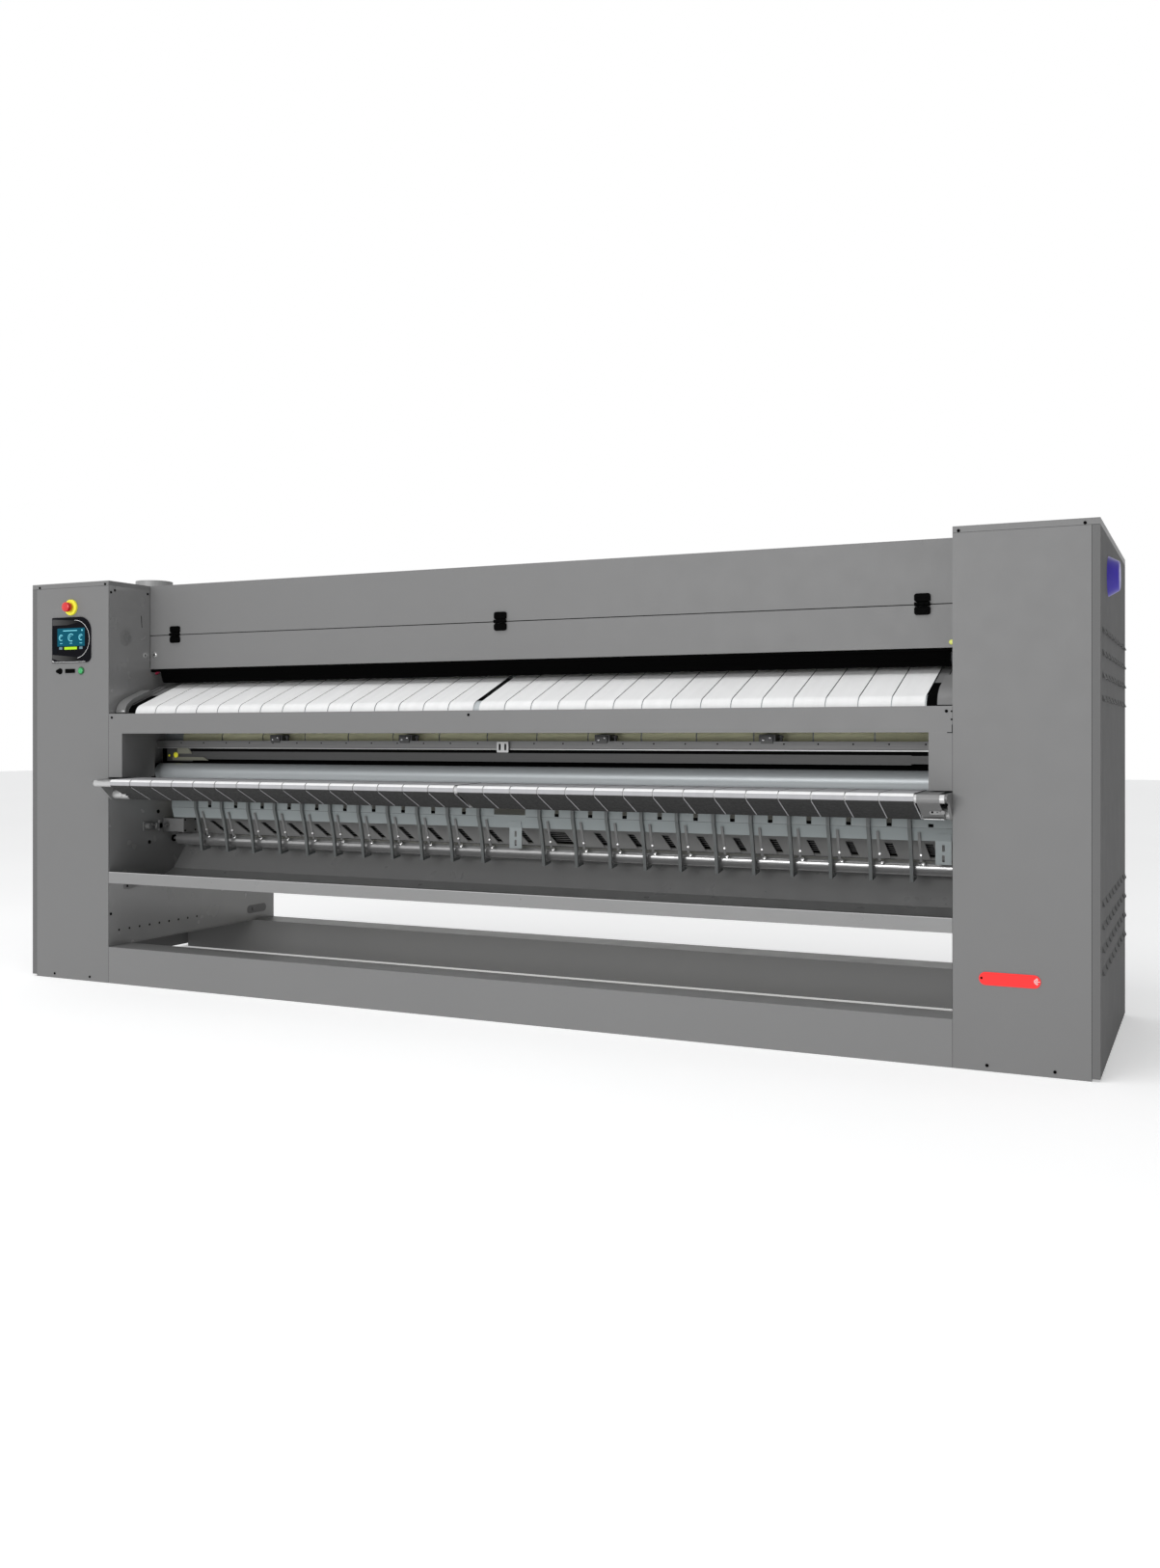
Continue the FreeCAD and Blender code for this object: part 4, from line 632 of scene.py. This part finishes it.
bands = piece(
    "felt_bands", "frame", FINISHES["felt_band"],
    lambda mesh: loops(mesh, band_line(True), band_line(False),
                       [-1591.5 + BAND_PITCH * k for k in range(15)], 208),
)
bands.data.materials.append(FELT_GAP_SHADE.material)
for face in bands.data.polygons:
    if abs(face.normal.x) > 0.9:
        face.material_index = 1
piece("band_gap_shadows", "frame", FELT_GAP_SHADE, lambda mesh: [
    bar(mesh, arc(*CYLINDER, 252.6, 185, 200, 10) + arc(*CYLINDER, 250.6, 200, 185, 10), x, x + 4.5)
    for x in [-1596 + BAND_PITCH * k for k in range(16)]])
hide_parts("ironing_bands")


# ---------------------------------------------------------------- hinges, guard and small fittings

def rounded(x0, z0, x1, z1, radius, steps=5):
    """Corners of a rounded rectangle in X and Z."""
    outline = []
    for cx, cz, first in ((x1 - radius, z1 - radius, 0), (x0 + radius, z1 - radius, 90),
                          (x0 + radius, z0 + radius, 180), (x1 - radius, z0 + radius, 270)):
        outline += arc(cx, cz, radius, first, first + 90, steps)
    return outline


HINGES = (-1557, 0, 1557)


def hinge_lobes(upward):
    """Thick rounded leaves of the three hinges, above or below the barrels."""
    low, high = (HINGE_Z + 7.3, HINGE_Z + 35) if upward else (HINGE_Z - 35, HINGE_Z - 7.3)

    def draw(mesh):
        for x in HINGES:
            slab(mesh, rounded(x - 26, low, x + 26, high, 8), HOOD_Y - 8, HOOD_Y)
    return draw


def hinge_screws(upward):
    """Two screw heads on each leaf."""
    z = HINGE_Z + 22 if upward else HINGE_Z - 22

    def draw(mesh):
        for x in HINGES:
            for dx in (-13, 13):
                turned(mesh, (x + dx, HOOD_Y - 7.5, z), (0, -1, 0), [(0, 2.6), (0.8, 2.6), (1.2, 2)], 12)
    return draw


def hinge_barrels(spans):
    """Knuckles over the given stretches of each hinge."""
    def draw(mesh):
        for x in HINGES:
            for low, high in spans:
                turned(mesh, (x + low, HINGE_Y, HINGE_Z), (1, 0, 0),
                       [(0, 6), (1, 6.7), (high - low - 1, 6.7), (high - low, 6)], 32)
    return draw


for upward, body, node, spans in (
    (True, "frame", "flap_hinge_fixed", [(-9, 9)]),
    (False, "flap", "flap_hinge_moving", [(9.3, 25), (-25, -9.3)]),
):
    leaf = piece(node + "_leaf", body, FINISHES["black_plastic"],
                 hinge_lobes(upward), bevel=2.0)
    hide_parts(node)
    piece(node + "_barrel", body, FINISHES["black_plastic"], hinge_barrels(spans))
    piece(node + "_screws", body, FINISHES["black_plastic"], hinge_screws(upward))


def flap_washer(mesh):
    """Dished washer at the left end of the flap."""
    turned(mesh, (-1672, HOOD_Y, 1357), (0, -1, 0), [(0, 12), (1.4, 12), (2, 11), (2, 5), (0.6, 4.6)], 24)


piece("flap_washer", "flap", BRIGHT, flap_washer)
piece("flap_washer_hole", "flap", FINISHES["black_plastic"], lambda mesh: turned(
    mesh, (-1672, 240.3, 1357), (0, -1, 0), [(0, 4.4), (0.3, 4.4)], 16))
piece("flap_plug", "flap", plastic("plug_lime", (0.62, 0.66, 0.12)), lambda mesh: (
    turned(mesh, (1650, HOOD_Y, 1314), (0, -1, 0), [(0, 8), (1.5, 8), (2.5, 6)], 24),
    turned(mesh, (1657, HOOD_Y, 1328), (0, -1, 0), [(0, 4), (1.5, 4), (2.5, 3)], 16)))
piece("guard_catch", "frame", paint("catch_red", (0.3, 0.015, 0.05), 0.4), lambda mesh: (
    turned(mesh, (-1668, 262, 1286), (0, -1, 0), [(0, 7), (6, 7), (8, 5)], 16),
    turned(mesh, (-1676, 262, 1279), (0, -1, 0), [(0, 5), (6, 5), (8, 4)], 16)))


def wall_marks(mesh):
    """Holes, slots and screw heads in the left inner wall, as shallow dark insets."""
    for k in range(9):
        turned(mesh, (-SIDE, 59 + 59.3 * k, 211), (1, 0, 0), [(0, 5), (0.4, 5)], 16)
    for y, z, radius in ((13, 1603, 5), (35, 1613, 5), (225, 1615, 5), (210, 1354, 5),
                         (12, 282, 6), (289, 689, 8), (236, 562, 8)):
        turned(mesh, (-SIDE, y, z), (1, 0, 0), [(0, radius), (1.5, radius), (2.2, radius - 1)], 20)
    bar(mesh, [(190, 1470), (193, 1470), (188, 1520), (185, 1520)], -SIDE, -SIDE + 0.4)


def oblong(along, across, length, height, steps=10):
    """A slot shape about its middle."""
    r = height / 2
    reach = length / 2 - r
    return arc(along + reach, across, r, -90, 90, steps) + arc(along - reach, across, r, 90, 270, steps)


piece("wall_fittings", "frame", FINISHES["black_plastic"], wall_marks)
piece("wall_slot", "frame", DARK_STEEL, lambda mesh: (
    bar(mesh, oblong(950, 200, 140, 38), -SIDE, -SIDE + 0.5),
    turned(mesh, (-SIDE, 925, 200), (1, 0, 0), [(0, 9), (2, 9), (2.5, 7)], 20)))
piece("wall_plug", "frame", MARK_GREY, lambda mesh: (
    turned(mesh, (-SIDE, 95, 1421), (1, 0, 0), [(0, 31), (0.4, 31), (0.6, 30)], 48),
    bar(mesh, [(132, 148), (1078, 148), (1078, 151), (132, 151)], -SIDE, -SIDE + 1.2)))
piece("wall_washer", "frame", SILVER, lambda mesh: turned(
    mesh, (-SIDE, 210, 1354), (1, 0, 0), [(0, 11), (1.4, 11), (2, 10)], 24))


def tray_feet(mesh):
    """Small drilled brackets that carry the tray at both walls."""
    for low in (-SIDE, SIDE - 3):
        bar(mesh, [(86, 410), (86, 378), (112, 372), (270, 402), (270, 410)], low, low + 3)


piece("tray_brackets", "frame", FINISHES["body_paint"], tray_feet, bevel=0.5)
piece("tray_bracket_bolts", "frame", FINISHES["black_plastic"], lambda mesh: [
    turned(mesh, (x, 103, 388), (1, 0, 0), [(0, 5), (1, 5), (1.6, 4)], 16)
    for x in (-SIDE + 3, SIDE - 4.6)])


def seam_shadows(mesh):
    """Joints between the sheets of the cabinets and of the hood, drawn as painted shadow lines."""
    for side in (-1, 1):
        near, far = sorted((side * 2094, side * 2095))
        block(mesh, (near, 0.4, 9), (far, 1.9, LID_Z - 0.5))
        low, high = sorted((side * SIDE, side * OUTER))
        block(mesh, (low + 0.5, -0.12, LID_Z - 0.4), (high - 0.5, 0.1, LID_Z + 0.4))
        block(mesh, (side * SIDE - 0.4, -0.12, 1), (side * SIDE + 0.4, 0.1, 1102))
        block(mesh, (side * SIDE - 0.8, HOOD_Y - 0.8, 1298), (side * SIDE + 0.8, HOOD_Y, 1641))
    block(mesh, (-SIDE + 1, HOOD_Y - 0.3, HINGE_Z - 2.6), (SIDE - 1, HOOD_Y + 1.4, HINGE_Z + 0.4))
    block(mesh, (1679, -0.3, 1020.5), (SIDE, 0, 1023))
    block(mesh, (1693, -0.3, 1022), (SIDE, 0, 1046))
    for z in (1062, 1087):
        turned(mesh, (1692.5, 0, z), (0, -1, 0), [(0, 3), (0.4, 3)], 12)


piece("seam_shadows", "frame", FINISHES["black_plastic"], seam_shadows)


# ---------------------------------------------------------------- brackets behind the window

HOLDERS = (-1066, -445, 397, 1020)


def holders(mesh):
    """Clamp blocks on the scraper beam, each with two bolts and a hook beside it."""
    for x in HOLDERS:
        block(mesh, (x - 30, 282, 993), (x + 30, 330, 1017))
        block(mesh, (x - 22, 276, 985), (x + 22, 284, 1012))
        turned(mesh, (x + 46, 296, 993), (0, 0, 1), [(0, 5), (12, 5), (14, 9), (20, 9), (22, 6)], 12)


def end_sheets(mesh):
    """Two small sheets at the left end of the guide profile."""
    front, back = WINDOW_Y - 3, WINDOW_Y + 2
    slab(mesh, [(-1580, 938), (-1500, 938), (-1519, 962), (-1580, 962)], front, back)
    slab(mesh, [(-1606, 910), (-1413, 910), (-1440, 924), (-1606, 924)], front, back)


def centre_stay(mesh):
    """Pale slotted plate at the middle, in front of a dark block."""
    slab(mesh, rounded(-32, 950, 18, 991, 3), 268, 271)
    block(mesh, (-28, 271, 955), (14, 280, 985))


brackets = piece("holder_blocks", "frame", DARK_STEEL, holders, bevel=1.0)
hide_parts("profile_brackets")
piece("holder_bolts", "frame", BRIGHT, lambda mesh: [
    turned(mesh, (x + dx, 276, 1002 + dx * 0.3), (0, -1, 0), [(0, 4), (2, 4), (2.6, 3)], 6)
    for x in HOLDERS for dx in (-12, 12)])
piece("end_sheets", "frame", END_GREY, end_sheets, bevel=0.6)
piece("centre_stay", "frame", FINISHES["sheet_steel"], centre_stay, bevel=0.5)
piece("stay_slots", "frame", FINISHES["black_plastic"], lambda mesh: [
    slab(mesh, rounded(x - 4, 958, x + 4, 983, 3.5), 267.7, 268.2) for x in (-19, 5)])
piece("end_marker", "frame", FINISHES["yellow_plastic"], lambda mesh: (
    turned(mesh, (-1587, WINDOW_Y - 3, 932), (0, -1, 0), [(0, 12), (1, 12), (1.6, 11)], 24),
    turned(mesh, (-1622, WINDOW_Y - 3, 930), (0, -1, 0), [(0, 5), (1, 5)], 12)))
# Painted highlight: a bright strip along the scraper beam's lower edge.
piece("scraper_lip_highlight", "frame", SILVER, lambda mesh: block(
    mesh, (-1688, WINDOW_Y - 0.8, 960.5), (1622, WINDOW_Y, 963.5)))
piece("guide_shadow", "frame", FINISHES["black_plastic"], lambda mesh: block(
    mesh, (-1510, WINDOW_Y + 0.2, 948), (1640, WINDOW_Y + 1, 959.5)))
piece("guide_ends", "frame", GUIDE_GREY, lambda mesh: (
    block(mesh, (1513, WINDOW_Y - 0.4, 919), (1640, WINDOW_Y + 1, 946)),
    block(mesh, (-1640, WINDOW_Y + 2.5, 906), (-1500, WINDOW_Y + 4, 959))))
piece("beam_dots", "frame", FINISHES["black_plastic"], lambda mesh: [
    turned(mesh, (x, WINDOW_Y, 984), (0, -1, 0), [(0, 3), (0.3, 3)], 10)
    for x in range(-1560, 1600, 120)])
piece("roller_collar", "transfer", FINISHES["black_plastic"], lambda mesh: turned(
    mesh, (-1661.5, 270, 860), (-1, 0, 0), [(0, 37), (26, 37), (28, 34)], 32))
piece("fold_roll_collar", "fold_roll", FINISHES["black_plastic"], lambda mesh: turned(
    mesh, (-1689, 385, 570), (-1, 0, 0), [(0, 14), (3, 15), (5, 15)], 32))


# ---------------------------------------------------------------- comb fittings

FINGERS = [s * (130 + 137.2 * k) for s in (-1, 1) for k in range(11)]


def comb_rods(mesh):
    """Flat stop rods beside the fingers, hung from the comb's lower strip."""
    for x in FINGERS:
        bar(mesh, [(308, 694), (311, 694), (347, 592), (344, 592)], x + 25, x + 34)


def comb_knobs(mesh):
    """Bright knob and foot on each stop rod."""
    for x in FINGERS:
        turned(mesh, (x + 32, 336, 616), (0, -1, 0), [(0, 5), (4, 5), (5.5, 3.5)], 16)
        turned(mesh, (x + 38, 342, 588), (0, -1, 0.6), [(0, 7), (2, 7), (3, 5)], 16)


piece("comb_rods", "comb", paint("rod_grey", grey(0.22), 0.4), comb_rods)
piece("comb_knobs", "comb", BRIGHT, comb_knobs)
piece("comb_notch_backs", "comb", FINISHES["black_plastic"], lambda mesh: [
    block(mesh, (x + 60, 310.6, 711), (x + 77, 311, 722)) for x in FINGERS if x != -130])
# Painted shade: a dark line along the comb's fold.
piece("comb_fold_shade", "comb", DARK_STEEL, lambda mesh: [
    bar(mesh, [(310.8, 707.4), (311.2, 707.4), (311.2, 708.6), (310.8, 708.6)], low, high)
    for low, high in ((-1638, -68), (68, 1638))])


def comb_drive(mesh):
    """Flanges, clevis and lever of the comb's actuator on the left wall."""
    for x in (-1692, -1588):
        slab(mesh, rounded(x, 600, x + 6, 662, 2), 319, 401)
    block(mesh, (-1672, 245, 619), (-1663, 286, 643))
    block(mesh, (-1672, 262, 612), (-1663, 282, 655))
    bar(mesh, [(196, 612), (288, 612), (288, 618), (240, 650), (196, 650)], -SIDE, -1689)
    turned(mesh, (-1689, 215, 632), (1, 0, 0), [(0, 13), (18, 13), (20, 10)], 24)
    rod(mesh, (-1672, 222, 640), (-1672, 262, 632), 5)


piece("comb_drive_links", "frame", FINISHES["body_paint"], comb_drive, bevel=0.8)
piece("comb_drive_bolts", "frame", FINISHES["black_plastic"], lambda mesh: [
    turned(mesh, (-1582, y, z), (1, 0, 0), [(0, 4), (2, 4), (2.6, 3)], 12)
    for y in (328, 392) for z in (608, 654)])


# ---------------------------------------------------------------- bed and tray

BED_RUN = 140
BED_FALL = 82


def bed_slot_shade(mesh):
    """Painted shade: a black sheet close behind the bed, seen through its slots."""
    low_y, low_z = BED_Y + BED_RUN, BED_Z - BED_FALL
    bar(mesh, [(BED_Y, BED_Z), (low_y, low_z), (low_y, low_z + 2), (BED_Y, BED_Z + 2)], -1690, 1690)


def bed_ribs(mesh):
    """Fine ribs on the sheet behind the slots."""
    for k in range(9):
        y = BED_Y + 13 * (k + 1)
        z = BED_Z - (y - BED_Y) * BED_FALL / BED_RUN
        bar(mesh, [(y, z), (y + 2, z - 1.2), (y + 1.4, z - 2.2), (y - 0.6, z - 1)], -1688, 1688)


piece("bed_slot_shade", "frame", FINISHES["black_paint"], bed_slot_shade)
piece("bed_ribs", "frame", MARK_GREY, bed_ribs)
# Painted highlight: a light line along the top of the tray's front hem.
piece("tray_hem_highlight", "frame", paint("hem_highlight_grey", grey(0.42), 0.4), lambda mesh: block(
    mesh, (-1693, -0.25, 453.6), (1693, 0, 456.1)))


# ---------------------------------------------------------------- controls

def stop_profile():
    """The mushroom head on its stem."""
    return [(0, 9.8), (16, 9.8), (17, 19), (20, 20), (33, 20), (35.4, 18.8), (36.6, 16),
            (36.9, 8), (37, 0)]


head = piece("stop_mushroom", "stop", FINISHES["red_plastic"],
             lambda mesh: turned(mesh, (STOP[0], 0, STOP[1]), (0, -1, 0), stop_profile(), 64))
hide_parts("stop_button")
ring = piece(
    "stop_ring", "frame", FINISHES["yellow_plastic"],
    lambda mesh: turned(mesh, (STOP[0], 0, STOP[1]), (0, -1, 0), [
        (0, 33), (6, 33), (8.4, 31.6), (9, 30), (9, 26), (7.8, 25), (7.8, 23.4), (9, 22.4), (9, 11.2)
    ], 64),
)
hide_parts("stop_collar")
lens = piece("start_lens", "start", FINISHES["green_plastic"],
             lambda mesh: turned(mesh, (START[0], 0, START[1]), (0, -1, 0), [
                 (-18, 11), (0, 11.6), (4, 12), (6, 11.4), (6.8, 9), (7, 0)], 48))
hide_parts("start_button")
piece("start_rim", "frame", plastic("rim_green", (0.02, 0.1, 0.035), 0.3),
      lambda mesh: turned(mesh, (START[0], 0, START[1]), (0, -1, 0), [
          (0, 16.5), (2, 16.5), (3.6, 15.4), (3.6, 12.6), (1, 12.3)], 48))


def bezel_outline():
    """The bezel's outline: square at the left, round at the right."""
    left, right = PANEL[0] - 107, PANEL[0] + 107
    low, high = PANEL[1] - 94.5, PANEL[1] + 94.5
    return (arc(right - 26, low + 26, 26, -90, 0, 8) + arc(right - 60, high - 60, 60, 0, 90, 14)
            + arc(left + 4, high - 4, 4, 90, 180, 3) + arc(left + 4, low + 4, 4, 180, 270, 3))


glass = piece("display_front", "frame", FINISHES["screen_glass"],
              lambda mesh: slab(mesh, bezel_outline(), -5, 0), bevel=1.2)
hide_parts("display_bezel", "display_screen")


def ribbon(mesh, path, width, front, back):
    """A thin printed line along a path in X and Z."""
    rings = []
    for i, (x, z) in enumerate(path):
        x0, z0 = path[max(0, i - 1)]
        x1, z1 = path[min(len(path) - 1, i + 1)]
        span = math.hypot(x1 - x0, z1 - z0)
        dx, dz = -(z1 - z0) / span * width / 2, (x1 - x0) / span * width / 2
        rings.append([at(x + dx, front, z + dz), at(x - dx, front, z - dz),
                      at(x - dx, back, z - dz), at(x + dx, back, z + dz)])
    stretch(mesh, rings, closed=False, caps=True)


def bezel_lines(mesh):
    """The D-shaped arc, the lower edge line and the small triangle."""
    x, z = PANEL
    ribbon(mesh, arc(x + 22, z + 2, 79, 92, -80, 40), 1.5, -5.3, -4.6)
    ribbon(mesh, [(x - 96, z - 91), (x, z - 91.5), (x + 78, z - 91)], 1.4, -5.3, -4.6)
    slab(mesh, [(x - 103, z - 91), (x - 95, z - 91), (x - 103, z - 83)], -5.3, -4.6)


piece("display_lines", "frame", LIGHT_LINE, bezel_lines)


def bezel_sheen(mesh):
    """Grey sweeps printed above and below the screen, fading to the right."""
    x, z = PANEL
    above = [(-104, 62), (-20, 62), (44, 72), (20, 80), (-104, 88)]
    below = [(-104, -60), (30, -72), (50, -86), (-60, -88), (-104, -76)]
    for sweep in (above, below):
        slab(mesh, [(x + dx, z + dz) for dx, dz in sweep], -5.15, -4.9)


def fading_silver():
    """Silver print that darkens along X."""
    finish = Finish("bezel_silver", 0.4, 0.0).with_shine(0.1)
    apart = finish.node("ShaderNodeSeparateXYZ")
    finish.link(finish.place, apart.inputs["Vector"])
    span = finish.node("ShaderNodeMapRange", From_Min=-2.0, From_Max=-1.86)
    finish.link(apart.outputs["X"], span.inputs["Value"])
    colour = finish.ramp(span.outputs["Result"], [(0.0, grey(0.07)), (1.0, grey(0.002))])
    finish.link(colour, finish.shader.inputs["Base Color"])
    return finish.grain(1500.0, 0.0001, 0.2)


piece("display_sheen", "frame", fading_silver(), bezel_sheen)

SCREEN_BITS = {
    "screen_field": (INK_TEAL, [(-76, -45, 76, 45)]),
    "screen_strip": (INK_BLACK, [(-104, -58, -77, 46)]),
    "screen_footer": (INK_BLACK, [(-76, -45, 76, -30)]),
    "screen_title": (INK_CYAN, [(-44, 33, 34, 36), (58, 32, 64, 38)]),
    "screen_squares": (INK_GREY, [(-66, -43, -48, -33), (46, -43, 64, -33)]),
    "screen_key": (INK_GREEN, [(-37, -44, 33, -33)]),
}
for depth, (name, (ink, boxes)) in enumerate(SCREEN_BITS.items()):
    layer = min(2, max(0, depth - 1))
    front = -5.2 - 0.08 * layer

    def draw_bits(mesh, boxes=boxes, front=front):
        for x0, z0, x1, z1 in boxes:
            slab(mesh, rounded(SCREEN[0] + x0, SCREEN[1] + z0, SCREEN[0] + x1, SCREEN[1] + z1, 0.8, 3),
                 front, -4.8)

    piece(name, "frame", ink, draw_bits)


def gauges(mesh):
    """Three ring gauges on the screen, the middle one larger."""
    for dx, radius in ((-55, 11), (0, 15), (55, 11)):
        x, high, low = SCREEN[0] + dx, SCREEN[1] + 6, SCREEN[1] - 18
        ribbon(mesh, arc(x, high, radius, 300, 40, 32), 2.8, -5.4, -5.0)
        ribbon(mesh, arc(x, high, radius * 0.5, 220, 60, 16), 1.6, -5.4, -5.0)
        ribbon(mesh, [(x - 7, low), (x, low), (x + 7, low)], 2, -5.4, -5)


piece("screen_gauges", "frame", INK_CYAN, gauges)


# ---------------------------------------------------------------- right cabinet trim

cap = piece("side_cone", "frame", FINISHES["blue_plastic"],
            lambda mesh: turned(mesh, (OUTER, 300, 1508), (1, 0, 0), [
                (0, 63), (2, 62.4), (30, 47), (33, 44), (34, 40), (34, 0)], 64))
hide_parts("side_cap")


plate = piece("red_plate", "frame", FINISHES["red_paint"],
              lambda mesh: slab(mesh, oblong(1863, 280, 179, 40, 16), -2, 0), bevel=0.6)
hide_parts("red_cover_plate")
piece("red_plate_dot", "frame", FINISHES["black_plastic"], lambda mesh: turned(
    mesh, (1781, -2, 281), (0, -1, 0), [(0, 3.5), (0.5, 3.5)], 16))
piece("red_plate_screw", "frame", BRIGHT, lambda mesh: (
    ribbon(mesh, arc(1941, 281, 7, 60, 300, 20), 1.6, -2.5, -1.9),
    block(mesh, (1932, -2.5, 280.2), (1950, -1.9, 281.8)),
    block(mesh, (1940.2, -2.5, 270), (1941.8, -1.9, 292))))


# ---------------------------------------------------------------- stage, camera and light

def studio_floor():
    """A wide pale floor under the machine."""
    data = bpy.data.meshes.new("floor")
    reach = 30.0
    data.from_pydata([(-reach, -reach, 0), (reach, -reach, 0), (reach, reach, 0), (-reach, reach, 0)],
                     [], [(0, 1, 2, 3)])
    made = bpy.data.objects.new("floor", data)
    scene.collection.objects.link(made)
    data.materials.append(Finish("studio_floor", 0.9).tint(grey(0.9), 0.01, 0.5).glowing(0.44).material)


studio_floor()

PHOTO_HEIGHT = 1626         # pixels of the photo, which is taller than wide
FOCAL_PIXELS = 1423.97
HORIZON_ROW = 764.23        # pixel row of the horizon
SENSOR = 36

camera_data = bpy.data.cameras.new("photo_camera")
camera_data.lens = SENSOR * FOCAL_PIXELS / PHOTO_HEIGHT
camera_data.sensor_width = SENSOR
camera_data.shift_y = -(PHOTO_HEIGHT / 2 - HORIZON_ROW) / PHOTO_HEIGHT
camera = bpy.data.objects.new("photo_camera", camera_data)
camera.location = (2.44973, -4.76196, 1.00843)
camera.rotation_euler = (math.radians(90), 0, math.radians(25.201))
scene.collection.objects.link(camera)
scene.camera = camera

scene.view_settings.view_transform = "Standard"

FILL_LEFT = 0.85            # fill light from the left, falling to the right
FILL_RIGHT = 0.0


def larger(tree, first, second):
    """The larger of two values."""
    node = tree.nodes.new("ShaderNodeMath")
    node.operation = "MAXIMUM"
    tree.links.new(first, node.inputs[0])
    tree.links.new(second, node.inputs[1])
    return node.outputs["Value"]


def studio_world():
    """White behind the machine and in its reflections; a soft fill that fades to the right elsewhere."""
    world = bpy.data.worlds.new("studio")
    scene.world = world
    world.use_nodes = True
    tree = world.node_tree
    fill = tree.nodes["Background"]
    fill.inputs["Color"].default_value = (0.98, 0.99, 1.0, 1)
    heading = tree.nodes.new("ShaderNodeTexCoord")
    apart = tree.nodes.new("ShaderNodeSeparateXYZ")
    sidelong = tree.nodes.new("ShaderNodeMapRange")
    sidelong.inputs["From Min"].default_value = -1.0
    sidelong.inputs["From Max"].default_value = 1.0
    sidelong.inputs["To Min"].default_value = FILL_LEFT
    sidelong.inputs["To Max"].default_value = FILL_RIGHT
    tree.links.new(heading.outputs["Generated"], apart.inputs["Vector"])
    tree.links.new(apart.outputs["X"], sidelong.inputs["Value"])
    tree.links.new(sidelong.outputs["Result"], fill.inputs["Strength"])
    white = tree.nodes.new("ShaderNodeBackground")
    white.inputs["Color"].default_value = (1, 1, 1, 1)
    white.inputs["Strength"].default_value = 1.0
    path = tree.nodes.new("ShaderNodeLightPath")
    direct = larger(tree, path.outputs["Is Camera Ray"], path.outputs["Is Glossy Ray"])
    blend = tree.nodes.new("ShaderNodeMixShader")
    tree.links.new(larger(tree, direct, path.outputs["Is Transmission Ray"]), blend.inputs["Fac"])
    tree.links.new(fill.outputs["Background"], blend.inputs[1])
    tree.links.new(white.outputs["Background"], blend.inputs[2])
    tree.links.new(blend.outputs["Shader"], tree.nodes["World Output"].inputs["Surface"])


studio_world()


def area_light(name, place, target, size, power):
    """A soft rectangular light aimed at a place, in metres and watts."""
    data = bpy.data.lights.new(name, "AREA")
    data.shape = "RECTANGLE"
    data.size, data.size_y = size
    data.energy = power
    made = bpy.data.objects.new(name, data)
    made.location = place
    made.rotation_euler = (Vector(target) - Vector(place)).to_track_quat("-Z", "Y").to_euler()
    scene.collection.objects.link(made)


area_light("key_front", (-1.6, -14.0, 3.2), (0, 0, 0.9), (7.4, 3.2), 640)
area_light("key_top", (0, -3.0, 6.5), (0, 0, 1.0), (5, 4), 125)
